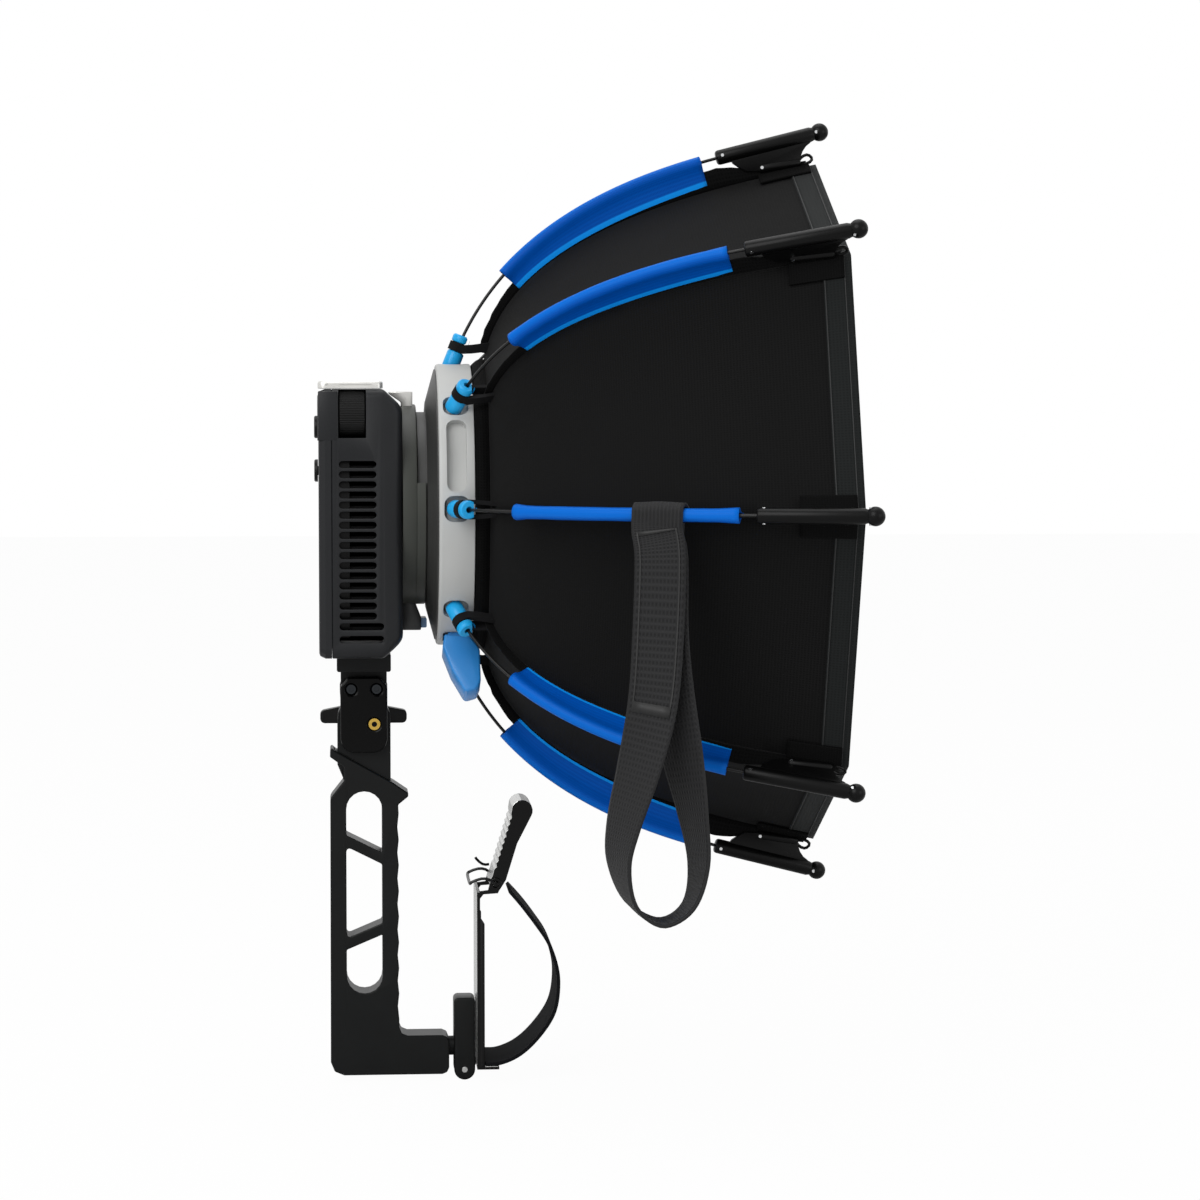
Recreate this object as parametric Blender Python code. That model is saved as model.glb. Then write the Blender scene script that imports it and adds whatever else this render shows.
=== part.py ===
"""Hand-held LED video light: grip, tilt head, lamp body, octagonal dome softbox and pole clamp.

Metres, +Z up. The origin is the middle of the grip, where a hand holds it. The lamp shines
along +X. Eight spring rods stand round the optical axis; rod 1 is the top one, and the
numbers run over the near side (-Y), the bottom and the far side.
"""
import math

import bmesh
import bpy
from mathutils import Matrix, Vector

# ---------------------------------------------------------------- driving dimensions
CLEARANCE = 0.0003          # gap between pieces that touch
RUNNING = 0.0004            # gap round pieces that turn

# grip
GRIP_DEPTH = 0.017
GRIP_REAR_X = -0.0153
GRIP_FRONT_X = 0.0152
GRIP_BOTTOM_Z = -0.0750
RAIL_WIDTH = 0.0073         # metal beside the weight-saving windows
WINDOW_TOP_Z = 0.0522
WINDOW_BOTTOM_Z = -0.0382
WINDOW_WEB = 0.0052         # height of the slanting webs
FINGER_WAVE = 0.0006
FINGER_PITCH = 0.0115
FINGER_TOP_Z = 0.042
FINGER_COUNT = 8
HORN_FRONT_X = 0.0195
FOOT_FRONT_X = 0.0374
FOOT_TOP_Z = -0.0575

# tilt head
TILT_Z = 0.0840
NECK_RADIUS = 0.0118
NECK_DEPTH = 0.0120
CHEEK_DEPTH = 0.0045
CHEEK_HALF_WIDTH = 0.0104
CHEEK_DROP = 0.0144         # cheek below the pivot
CROSSBAR_TOP_Z = 0.1060
SHOE_HALF_WIDTH = 0.0119
SHOE_HALF_DEPTH = 0.0160
TILT_BOLT_RADIUS = 0.0030
WING_SPAN = 0.0388
WING_HEIGHT = 0.0066
WING_DEPTH = 0.0060
KNOB_RADIUS = 0.0070
KNOB_DEPTH = 0.0090
SCREW_X = 0.0056            # cheek screws, either side of the middle
SCREW_Z = 0.0979
SCREW_HEAD_RADIUS = 0.0024
SCREW_SHANK_RADIUS = 0.0014
SCREW_LENGTH = 0.0085
INSERT_X = 0.0046
INSERT_Z = 0.0824
INSERT_RADIUS = 0.0026
INSERT_BORE = 0.0012

# lamp body
BODY_REAR_X = -0.0198
REAR_STEP = 0.0004          # the rear face below the corner block lies this much further in
REAR_BLOCK_HEIGHT = 0.0222
BODY_SPLIT_X = -0.0136      # joint between the rear cover and the front shell
BODY_FRONT_X = 0.0168
BODY_BOTTOM_Z = 0.1140
AXIS_Z = 0.1793             # optical axis of lamp and softbox
BODY_RISE = 0.0512          # axis to the body's top
BODY_TOP_Z = AXIS_Z + BODY_RISE
BODY_HALF_DEPTH = 0.0460
BODY_CORNER = 0.0040
CHAMFER = 0.0078            # slope at the top and bottom of the body's front
CHAMFER_X = 0.0088
WALL = 0.0022
SLOT_PITCH = 0.00436
SLOT_TOP_MARGIN = 0.0325    # body top to the middle of the first slot
SLOT_BOTTOM_MARGIN = 0.0166 # the short slots stop here above the body's bottom
SLOT_HEIGHT = 0.0030
SLOT_REAR_X = -0.0106
SLOT_FRONT_X = 0.0055
LONG_SLOT_FRONT_X = 0.0086
LONG_SLOT_HEIGHTS = (0.0140, 0.0085)    # above the body's bottom
TOP_PLATE_HEIGHT = 0.0030
TOP_PLATE_REAR_X = -0.0182
TOP_PLATE_FRONT_X = 0.0088
TOP_PLATE_MARGIN = 0.0030
DIAL_RADIUS = 0.0102
DIAL_REAR_X = -0.0102
DIAL_FRONT_X = 0.0005
DIAL_RIDGES = 24
KNOB_DROPS = (0.0165, 0.0355)           # rear knobs below the body's top
REAR_KNOB_Y = -0.0240
REAR_KNOB_RADIUS = 0.0051
REAR_KNOB_HEIGHT = 0.0019
FAN_Z = BODY_BOTTOM_Z + 0.0510
FAN_RADIUS = 0.0290
FAN_BLADES = 7
FAN_HUB_RADIUS = 0.0110
FAN_DEPTH = 0.0046
FIN_THICKNESS = 0.0012
SINK_FOOT = 0.0124          # lowest fin above the body's bottom
SINK_HEAD = 0.0220          # room over the heat sink, for the drive board
SINK_SIDE = 0.0038          # room beside the heat sink
LED_RADIUS = 0.0290
SCREEN_WIDTH = 0.0320
SCREEN_HEIGHT = 0.0250
SCREEN_DROP = 0.0262
SCREEN_DEPTH = 0.0006

# optical axis, lamp mount and softbox hub
MOUNT_RADIUS = 0.0445
MOUNT_RING_WIDTH = 0.0105
MOUNT_FRONT_X = 0.0233
MOUNT_LIP_X = 0.0272        # the raised upper sector
MOUNT_LIP_WALL = 0.0028
HUB_COLLAR_RADIUS = MOUNT_RADIUS - CLEARANCE - MOUNT_LIP_WALL - RUNNING
HUB_COLLAR_WALL = 0.0050
HUB_RADIUS = 0.0624
HUB_BAND_REAR_X = 0.0321
HUB_FRONT_X = 0.0475
HUB_BAND_WALL = 0.0079
POCKET_DEPTH = 0.0044
WINDOW_DEPTH = 0.0036
BOSS_HALF_WIDTH = 0.0075
HOUSING_HALF_WIDTH = 0.0100
TAB_SLOT_X = 0.0202
TAB_WIDTH = 0.0130
TAB_TRAVEL = 0.0020
PADDLE_ANGLE = math.radians(-67.5)      # counted from the near side upwards
PADDLE_WIDTH = 0.0160
PADDLE_PIVOT_X = 0.0395
PADDLE_ROOT = 0.0054

# spring rods, pegs, sleeves, levers: (along the axis, away from the axis)
RIB_COUNT = 8
RIM_RADIUS = 0.1503         # dome's corners at the rim
ROD_RADIUS = 0.0007
ROD_CURVE = ((0.0431, HUB_RADIUS + 0.0089), (0.0603, HUB_RADIUS + 0.0470),
             (0.0954, RIM_RADIUS - 0.0130), (0.1574, RIM_RADIUS + 0.0034))
PEG_BASE = (0.0385, HUB_RADIUS - 0.0022)
PEG_LEAN = math.radians(22.0)
PEG_LENGTH = 0.0157
PEG_RADIUS = 0.0038
PEG_WAIST = 0.0026
SLEEVE_START = 0.29         # share of the rod where the sleeve begins and ends
SLEEVE_END = 0.962
SLEEVE_STATIONS = 7
SLEEVE_HALF_WIDTH = 0.0027
SLEEVE_WEB = 0.0008
LEVER_HINGE = (0.1600, RIM_RADIUS + 0.0041)
LEVER_SLOPE = math.radians(14.3)
LEVER_LENGTH = 0.0450       # hinge to ball centre
LEVER_TUBE_RADIUS = 0.0030
LEVER_BALL_RADIUS = 0.0041

# dome
DOME_CURVE = ((HUB_FRONT_X + 0.0065, HUB_RADIUS + 0.0016), (HUB_FRONT_X + 0.0155, HUB_RADIUS + 0.0525),
              (0.1356, RIM_RADIUS - 0.0131), (0.2003, RIM_RADIUS))
DOME_BACK_RADIUS = HUB_RADIUS - 0.0074
DOME_THICKNESS = 0.0012
DOME_STATIONS = 9
DIFFUSER_X = 0.1930
DIFFUSER_THICKNESS = 0.0010

# pull strap
STRAP_WIDTH = 0.0215
STRAP_THICKNESS = 0.0014
STRAP_X = 0.1190
STRAP_DROP = 0.1664         # rib to the bottom of the fold
STRAP_SWING = 0.0170        # the fold's half width

# strap clamp on the foot
SPINDLE_Z = -0.0636
SPINDLE_RADIUS = 0.0043
SPINDLE_DEPTH = 0.0080
BLOCK_REAR_X = 0.0396
BLOCK_FRONT_X = 0.0492
BLOCK_TOP_Z = -0.0410
BLOCK_DEPTH = 0.0140
PIN_X = 0.0444
PIN_Z = -0.0734
PIN_RADIUS = 0.0013
KNUCKLE_RADIUS = 0.0042
KNUCKLE_DEPTH = 0.0070
PLATE_THICKNESS = 0.0014
PLATE_BOTTOM_Z = -0.0712
PLATE_TOP_Z = 0.0080
PLATE_HALF_WIDTH = 0.0190
PLATE_RAIL = 0.0034
LIP_LENGTH = 0.0098
BELT_HALF_WIDTH = 0.0185
BELT_THICKNESS = 0.0015
BELT_REACH = 0.0349         # plate's face to the middle of the belt's bow
LATCH_X = 0.0581
LATCH_Z = 0.0110
LATCH_LENGTH = 0.0346
LATCH_HALF_WIDTH = 0.0132
LATCH_TEETH = 9
LATCH_PIN_RADIUS = 0.0012
EAR_THICKNESS = 0.0014
BAIL_RADIUS = 0.0007


# ---------------------------------------------------------------- small modelling tools
def material(name, colour, roughness, metallic=0.0):
    """A Principled material from a linear colour."""
    made = bpy.data.materials.new(name)
    made.use_nodes = True
    shader = made.node_tree.nodes["Principled BSDF"]
    shader.inputs["Base Color"].default_value = (*colour, 1.0)
    shader.inputs["Roughness"].default_value = roughness
    shader.inputs["Metallic"].default_value = metallic
    made.diffuse_color = (*colour, 1.0)
    return made


def rounded(corners, steps=3):
    """Closed outline from (u, v, radius) corners; each radius becomes an arc."""
    outline = []
    for index, (u, v, radius) in enumerate(corners):
        here = Vector((u, v))
        if radius == 0.0:
            outline.append(here)
            continue
        before = Vector(corners[index - 1][:2])
        after = Vector(corners[(index + 1) % len(corners)][:2])
        to_before = (before - here).normalized()
        to_after = (after - here).normalized()
        half = to_before.angle(to_after) / 2.0
        reach = min(radius / math.tan(half), 0.49 * (before - here).length, 0.49 * (after - here).length)
        centre = here + (to_before + to_after).normalized() * (reach / math.cos(half))
        start = here + to_before * reach - centre
        turn = start.angle_signed(here + to_after * reach - centre)
        for step in range(steps + 1):
            outline.append(centre + Matrix.Rotation(-turn * step / steps, 2) @ start)
    return outline


def arc(u, v, radius, first, last, steps):
    """Points on an arc; the angles are in degrees, counted from +u to +v."""
    angles = [math.radians(first + (last - first) * i / steps) for i in range(steps + 1)]
    return [Vector((u + radius * math.cos(a), v + radius * math.sin(a))) for a in angles]


def loft(rings, closed=False):
    """Skin a run of rings; its ends are capped unless the run closes on itself."""
    mesh = bmesh.new()
    rows = [[mesh.verts.new(point) for point in ring] for ring in rings]
    pairs = list(zip(rows, rows[1:]))
    if closed:
        pairs.append((rows[-1], rows[0]))
    for low, high in pairs:
        for i, vertex in enumerate(low):
            j = (i + 1) % len(low)
            mesh.faces.new((vertex, low[j], high[j], high[i]))
    if not closed:
        mesh.faces.new(rows[0])
        mesh.faces.new(rows[-1])
    bmesh.ops.recalc_face_normals(mesh, faces=mesh.faces)
    return mesh


def side_prism(outline, low_y, high_y):
    """Outline in (x, z), extruded across the object along Y."""
    return loft([[Vector((u, y, v)) for u, v in outline] for y in (low_y, high_y)])


def face_prism(outline, low_x, high_x):
    """Outline in (y, z), extruded along X."""
    return loft([[Vector((x, u, v)) for u, v in outline] for x in (low_x, high_x)])


def circle(axis_point, axis, radius, sides, start=0.0):
    """A ring of points round an axis."""
    axis = axis.normalized()
    across = axis.orthogonal().normalized()
    up = axis.cross(across)
    angles = [start + math.tau * i / sides for i in range(sides)]
    return [axis_point + (across * math.cos(a) + up * math.sin(a)) * radius for a in angles]


def turned(base, axis, profile, sides):
    """Solid of revolution from (distance along the axis, radius) pairs."""
    axis = Vector(axis).normalized()
    return loft([circle(Vector(base) + axis * along, axis, radius, sides) for along, radius in profile])


def washer(profile, sides, first=0.0, sweep=360.0):
    """Ring about the optical axis from a closed (x, radius) profile; it may be a sector."""
    whole = sweep == 360.0
    count = sides if whole else sides + 1
    rings = []
    for i in range(count):
        angle = math.radians(first + sweep * i / sides)
        rings.append([Vector((x, -r * math.cos(angle), AXIS_Z + r * math.sin(angle))) for x, r in profile])
    return loft(rings, closed=whole)


def bezier(curve, share):
    """Point on a cubic Bezier curve in a plane."""
    rest = 1.0 - share
    weights = (rest ** 3, 3 * rest ** 2 * share, 3 * rest * share ** 2, share ** 3)
    return sum((Vector(point) * weight for point, weight in zip(curve, weights)), Vector((0.0, 0.0)))


def bezier_normal(curve, share):
    """Unit normal of the curve, pointing away from the optical axis."""
    step = 0.001
    along = bezier(curve, min(share + step, 1.0)) - bezier(curve, max(share - step, 0.0))
    along.normalize()
    return Vector((-along.y, along.x))


def smooth_path(points, steps):
    """Catmull-Rom curve through points of any dimension."""
    ends = [points[0] * 2 - points[1]] + list(points) + [points[-1] * 2 - points[-2]]
    path = []
    for a, b, c, d in zip(ends, ends[1:], ends[2:], ends[3:]):
        for step in range(steps):
            t = step / steps
            path.append(0.5 * (2 * b + (c - a) * t + (2 * a - 5 * b + 4 * c - d) * t * t
                               + (3 * b - a - 3 * c + d) * t ** 3))
    return path + [points[-1].copy()]


def solid(name, mesh, finish, pivot=None, place=(0.0, 0.0, 0.0), smooth=32.0):
    """Object from world geometry; its origin goes to place, its parent is the pivot empty."""
    data = bpy.data.meshes.new(name)
    bmesh.ops.translate(mesh, verts=mesh.verts, vec=-Vector(place))
    mesh.to_mesh(data)
    mesh.free()
    data.materials.append(finish)
    data.shade_smooth()
    data.set_sharp_from_angle(angle=math.radians(smooth))
    return hang(bpy.data.objects.new(name, data), pivot, place)


def world_place(made):
    """World position of an unturned object, down its chain of parents."""
    place = Vector((0.0, 0.0, 0.0))
    while made is not None:
        place += made.location
        made = made.parent
    return place


def hang(made, pivot, place):
    """Link an object at a world place, under its pivot where it has one."""
    bpy.context.scene.collection.objects.link(made)
    made.parent = pivot
    made.location = Vector(place) - world_place(pivot)
    return made


def pivot_at(name, place, pivot=None):
    """Empty on a joint's axis."""
    made = bpy.data.objects.new(name, None)
    made.empty_display_size = 0.01
    return hang(made, pivot, place)


def tool(mesh, name="cutter"):
    """Hidden helper for a Boolean."""
    made = solid(name, mesh, CUTTER)
    made.hide_render = True
    made.display_type = "WIRE"
    return made


def combine(target, mesh, operation):
    """Boolean between an object and a helper mesh."""
    modifier = target.modifiers.new(operation.lower(), "BOOLEAN")
    modifier.operation = operation
    modifier.object = tool(mesh, f"{target.name}_{operation.lower()}")


def cut(target, mesh):
    combine(target, mesh, "DIFFERENCE")


def join(target, mesh):
    combine(target, mesh, "UNION")


def soften(target, width, segments=1, angle=40.0):
    """Bevel the sharp edges."""
    modifier = target.modifiers.new("edges", "BEVEL")
    modifier.width = width
    modifier.segments = segments
    modifier.angle_limit = math.radians(angle)


def baked(target):
    """The finished mesh of an object whose modifiers are done; the object goes."""
    bpy.context.view_layer.update()
    ready = target.evaluated_get(bpy.context.evaluated_depsgraph_get())
    data = bpy.data.meshes.new_from_object(ready)
    for modifier in target.modifiers:
        if modifier.type == "BOOLEAN":
            bpy.data.objects.remove(modifier.object)
    bpy.data.objects.remove(target)
    return data


def round_the_axis(name, data, place, pivot):
    """Eight copies of a mesh drawn for the top rib, each turned to its own rib."""
    for index in range(RIB_COUNT):
        angle = math.tau * index / RIB_COUNT
        copy = bpy.data.objects.new(f"{name}_{index + 1}", data)
        offset = Matrix.Rotation(angle, 3, "X") @ Vector((place[0], 0.0, place[1]))
        hang(copy, pivot, Vector((0.0, 0.0, AXIS_Z)) + offset)
        copy.rotation_euler.x = angle


# ---------------------------------------------------------------- grip
def finger_side():
    """Front edge of the grip, top to bottom, with its shallow finger waves."""
    points = []
    steps = 4
    for i in range(FINGER_COUNT * steps + 1):
        z = FINGER_TOP_Z - FINGER_PITCH * i / steps
        dip = FINGER_WAVE * (1.0 - math.cos(math.tau * i / steps)) / 2.0
        points.append((GRIP_FRONT_X - dip, z, 0.0))
    return points


def grip_frame():
    """One machined bar: horned collar, windowed grip and foot, with a thinner neck on top."""
    half = GRIP_DEPTH / 2.0
    lower = [
        (GRIP_REAR_X, GRIP_BOTTOM_Z, 0.006),
        (FOOT_FRONT_X, GRIP_BOTTOM_Z, 0.003),
        (FOOT_FRONT_X, FOOT_TOP_Z, 0.003),
        (GRIP_FRONT_X, FOOT_TOP_Z, 0.006),
    ]
    lower += finger_side()[::-1]
    lower += [
        (GRIP_FRONT_X - 0.0002, 0.0461, 0.001),
        (HORN_FRONT_X, 0.0498, 0.0006),
        (HORN_FRONT_X, 0.0514, 0.0006),
        (0.0132, 0.0557, 0.0),
        (-0.0129, 0.0704, 0.0),
        (GRIP_REAR_X + 0.0005, 0.0722, 0.0005),
        (GRIP_REAR_X + 0.0002, 0.0677, 0.0006),
        (-0.0087, 0.0631, 0.002),
        (-0.0087, 0.0573, 0.002),
        (GRIP_REAR_X + 0.0003, 0.0493, 0.003),
    ]
    frame = solid("grip_frame", side_prism(rounded(lower, 2), -half, half), BLACK_METAL)
    soften(frame, 0.0016, 2, 60.0)
    neck_foot_z = 0.050
    neck = arc(0.0, TILT_Z, NECK_RADIUS, 0.0, 180.0, 12)
    neck += [Vector((-NECK_RADIUS, neck_foot_z + 0.014)), Vector((-0.006, neck_foot_z)),
             Vector((NECK_RADIUS, neck_foot_z))]
    join(frame, side_prism(neck, -NECK_DEPTH / 2.0, NECK_DEPTH / 2.0))
    for window in grip_windows():
        cut(frame, side_prism(window, -half - 0.002, half + 0.002))
    cut(frame, turned((0.0, -0.02, TILT_Z), (0, 1, 0),
                      ((0.0, TILT_BOLT_RADIUS + CLEARANCE), (0.04, TILT_BOLT_RADIUS + CLEARANCE)), 16))
    bore = SPINDLE_RADIUS + CLEARANCE
    cut(frame, turned((FOOT_FRONT_X - SPINDLE_DEPTH, 0.0, SPINDLE_Z), (1, 0, 0),
                      ((0.0, bore), (SPINDLE_DEPTH + 0.002, bore)), 16))
    return frame


def grip_windows():
    """Three openings through the grip, parted by webs that slope opposite ways."""
    rear = GRIP_REAR_X + RAIL_WIDTH
    front = GRIP_FRONT_X - RAIL_WIDTH
    middle = (rear + front) / 2.0
    radius = (front - rear) / 2.0
    upper_web = (0.0276, 0.0196)        # rear and front height of its lower edge
    lower_web = (-0.0186, -0.0119)
    top = arc(middle, WINDOW_TOP_Z - radius, radius, 0.0, 180.0, 10)
    bottom = arc(middle, WINDOW_BOTTOM_Z + radius, radius, 180.0, 360.0, 10)
    corner = 0.0012
    upper = [Vector((point.x, point.y)) for point in top]
    upper += [Vector((rear, upper_web[0] + WINDOW_WEB)), Vector((front, upper_web[1] + WINDOW_WEB))]
    centre = rounded([(rear, upper_web[0], corner), (rear, lower_web[0] + WINDOW_WEB, corner),
                      (front, lower_web[1] + WINDOW_WEB, corner), (front, upper_web[1], corner)], 2)
    lower = bottom + [Vector((front, lower_web[1])), Vector((rear, lower_web[0]))]
    return upper, centre, lower


# ---------------------------------------------------------------- tilt head
def cheek_outline(drop):
    """Side cheek: cut corners at the top, round ones below the pivot."""
    half = CHEEK_HALF_WIDTH
    top = CROSSBAR_TOP_Z - 0.0027
    return rounded([(-half, TILT_Z - drop, 0.006), (half, TILT_Z - drop, 0.006), (half, top - 0.004, 0.0),
                    (half - 0.0035, top, 0.0), (-half + 0.0035, top, 0.0), (-half, top - 0.004, 0.0)], 3)


def tilt_head(pivot):
    """Bracket under the lamp, screwed-on near cheek, its screws, thread insert and wing knob."""
    inner = NECK_DEPTH / 2.0 + CLEARANCE
    outer = inner + CHEEK_DEPTH
    crossbar_low = TILT_Z + NECK_RADIUS + RUNNING
    bracket = solid("tilt_bracket", side_prism(cheek_outline(CHEEK_DROP), inner, outer), BLACK_METAL,
                    pivot, (0.0, 0.0, TILT_Z))
    bar_half = CHEEK_HALF_WIDTH - 0.0002
    crossbar = [(-bar_half, crossbar_low), (bar_half, crossbar_low),
                (bar_half, CROSSBAR_TOP_Z + 0.001), (-bar_half, CROSSBAR_TOP_Z + 0.001)]
    join(bracket, side_prism(crossbar, CLEARANCE - inner, outer - 0.0002))
    shoe = rounded([(-SHOE_HALF_WIDTH, CROSSBAR_TOP_Z, 0.0008), (SHOE_HALF_WIDTH, CROSSBAR_TOP_Z, 0.0008),
                    (SHOE_HALF_WIDTH, BODY_BOTTOM_Z - CLEARANCE, 0.0),
                    (-SHOE_HALF_WIDTH, BODY_BOTTOM_Z - CLEARANCE, 0.0)], 2)
    join(bracket, side_prism(shoe, -SHOE_HALF_DEPTH, SHOE_HALF_DEPTH))
    bolt_hole = ((0.0, TILT_BOLT_RADIUS + CLEARANCE), (0.02, TILT_BOLT_RADIUS + CLEARANCE))
    cut(bracket, turned((0.0, 0.001, TILT_Z), (0, 1, 0), bolt_hole, 16))

    cheek = solid("tilt_cheek", side_prism(cheek_outline(CHEEK_DROP), -outer, -inner), BLACK_METAL,
                  pivot, (0.0, 0.0, TILT_Z))
    head_floor = -outer + 0.0024
    for x in (-SCREW_X, SCREW_X):
        head_hole = SCREW_HEAD_RADIUS + CLEARANCE
        shank_hole = SCREW_SHANK_RADIUS + CLEARANCE
        cut(cheek, turned((x, -outer - 0.001, SCREW_Z), (0, 1, 0),
                          ((0.0, head_hole), (0.0034, head_hole), (0.00341, shank_hole), (0.008, shank_hole)), 12))
        cut(bracket, turned((x, -inner - 0.001, SCREW_Z), (0, 1, 0),
                            ((0.0, shank_hole), (SCREW_LENGTH, shank_hole)), 12))
    insert_hole = INSERT_RADIUS + CLEARANCE
    cut(cheek, turned((INSERT_X, -outer - 0.001, INSERT_Z), (0, 1, 0),
                      ((0.0, insert_hole), (0.0045, insert_hole)), 16))

    for name, x in (("cheek_screw_rear", -SCREW_X), ("cheek_screw_front", SCREW_X)):
        head_top = head_floor - CLEARANCE - 0.0016
        profile = ((0.0, 0.0011), (0.0, SCREW_HEAD_RADIUS - 0.0003), (0.0003, SCREW_HEAD_RADIUS),
                   (0.0016, SCREW_HEAD_RADIUS), (0.0016, SCREW_SHANK_RADIUS), (SCREW_LENGTH, SCREW_SHANK_RADIUS))
        socket = ((0.0009, 0.0011),) + profile
        solid(name, turned((x, head_top, SCREW_Z), (0, 1, 0), socket, 12), STEEL, pivot)
    insert = ((0.0030, INSERT_BORE), (0.0, INSERT_BORE), (0.0, INSERT_RADIUS), (0.0034, INSERT_RADIUS))
    solid("brass_insert", turned((INSERT_X, -outer - 0.0002, INSERT_Z), (0, 1, 0), insert, 16), BRASS, pivot)


def wing_knob():
    """Clamping bolt through the far cheek and the neck, with a two-winged head."""
    far_face = NECK_DEPTH / 2.0 + CLEARANCE + CHEEK_DEPTH + RUNNING
    bolt_length = far_face + NECK_DEPTH / 2.0
    profile = ((0.0, TILT_BOLT_RADIUS - 0.0005), (0.0005, TILT_BOLT_RADIUS), (bolt_length, TILT_BOLT_RADIUS),
               (bolt_length, KNOB_RADIUS), (bolt_length + KNOB_DEPTH - 0.002, KNOB_RADIUS),
               (bolt_length + KNOB_DEPTH, KNOB_RADIUS - 0.002))
    knob = solid("wing_knob", turned((0.0, -NECK_DEPTH / 2.0, TILT_Z), (0, 1, 0), profile, 20),
                 BLACK_PLASTIC, None, (0.0, 0.0, TILT_Z))
    half = WING_SPAN / 2.0
    high = WING_HEIGHT / 2.0
    wings = rounded([(-half, TILT_Z - high, 0.002), (half, TILT_Z - high, 0.002),
                     (half, TILT_Z + high * 0.7, 0.002), (0.006, TILT_Z + high * 1.5, 0.0),
                     (-0.006, TILT_Z + high * 1.5, 0.0), (-half, TILT_Z + high * 0.7, 0.002)], 3)
    join(knob, side_prism(wings, far_face + 0.0015, far_face + 0.0015 + WING_DEPTH))


# ---------------------------------------------------------------- lamp body
def body_ring(x, inset_y, inset_z, corner):
    """Rounded rectangle across the lamp body at one x."""
    y = BODY_HALF_DEPTH - inset_y
    low = BODY_BOTTOM_Z + inset_z
    high = BODY_TOP_Z - inset_z
    outline = rounded([(-y, low, corner), (y, low, corner), (y, high, corner), (-y, high, corner)], 3)
    return [Vector((x, u, v)) for u, v in outline]


def slot_outline(z, front):
    """Stadium for one cooling slot."""
    radius = SLOT_HEIGHT / 2.0
    return arc(front - radius, z, radius, -90.0, 90.0, 2) + arc(SLOT_REAR_X + radius, z, radius, 90.0, 270.0, 2)


def dial_centre():
    """The dial sits level with the top and near faces of the shell."""
    return (-BODY_HALF_DEPTH + DIAL_RADIUS, BODY_TOP_Z - DIAL_RADIUS - 0.0001)


def front_shell(pivot):
    """Hollow shell, open to the rear, with slotted sides and a chamfered front."""
    rings = [
        body_ring(BODY_FRONT_X - WALL, WALL + 0.0028, WALL + CHAMFER, 0.001),
        body_ring(CHAMFER_X, WALL, WALL, BODY_CORNER - WALL),
        body_ring(BODY_SPLIT_X, WALL, WALL, BODY_CORNER - WALL),
        body_ring(BODY_SPLIT_X, 0.0, 0.0, BODY_CORNER),
        body_ring(CHAMFER_X, 0.0, 0.0, BODY_CORNER),
        body_ring(0.0134, 0.0002, CHAMFER * 0.58, BODY_CORNER),
        body_ring(BODY_FRONT_X, 0.0030, CHAMFER, BODY_CORNER),
    ]
    shell = solid("front_shell", loft(rings), BODY_PAINT, pivot)
    half = BODY_HALF_DEPTH
    first = BODY_TOP_Z - SLOT_TOP_MARGIN
    slot_count = 1 + int((first - BODY_BOTTOM_Z - SLOT_BOTTOM_MARGIN) / SLOT_PITCH)
    for index in range(slot_count):
        slot = slot_outline(first - SLOT_PITCH * index, SLOT_FRONT_X)
        cut(shell, side_prism(slot, -half - 0.002, half + 0.002))
    for height in LONG_SLOT_HEIGHTS:
        slot = slot_outline(BODY_BOTTOM_Z + height, LONG_SLOT_FRONT_X)
        cut(shell, side_prism(slot, -half - 0.002, half + 0.002))
    opening = LED_RADIUS + 0.0020
    cut(shell, turned((BODY_FRONT_X - 0.006, 0.0, AXIS_Z), (1, 0, 0), ((0.0, opening), (0.012, opening)), 32))
    dial_y, dial_z = dial_centre()
    pocket = DIAL_RADIUS + RUNNING
    cut(shell, turned((DIAL_REAR_X - RUNNING, dial_y, dial_z), (1, 0, 0),
                      ((0.0, pocket), (DIAL_FRONT_X - DIAL_REAR_X + 2 * RUNNING, pocket)), 28))
    notch = [Vector((-half - 0.002, dial_z - pocket)), Vector((dial_y, dial_z - pocket)),
             Vector((dial_y, BODY_TOP_Z + 0.002)), Vector((-half - 0.002, BODY_TOP_Z + 0.002))]
    cut(shell, face_prism(notch, DIAL_REAR_X - RUNNING, DIAL_FRONT_X + RUNNING))


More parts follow.
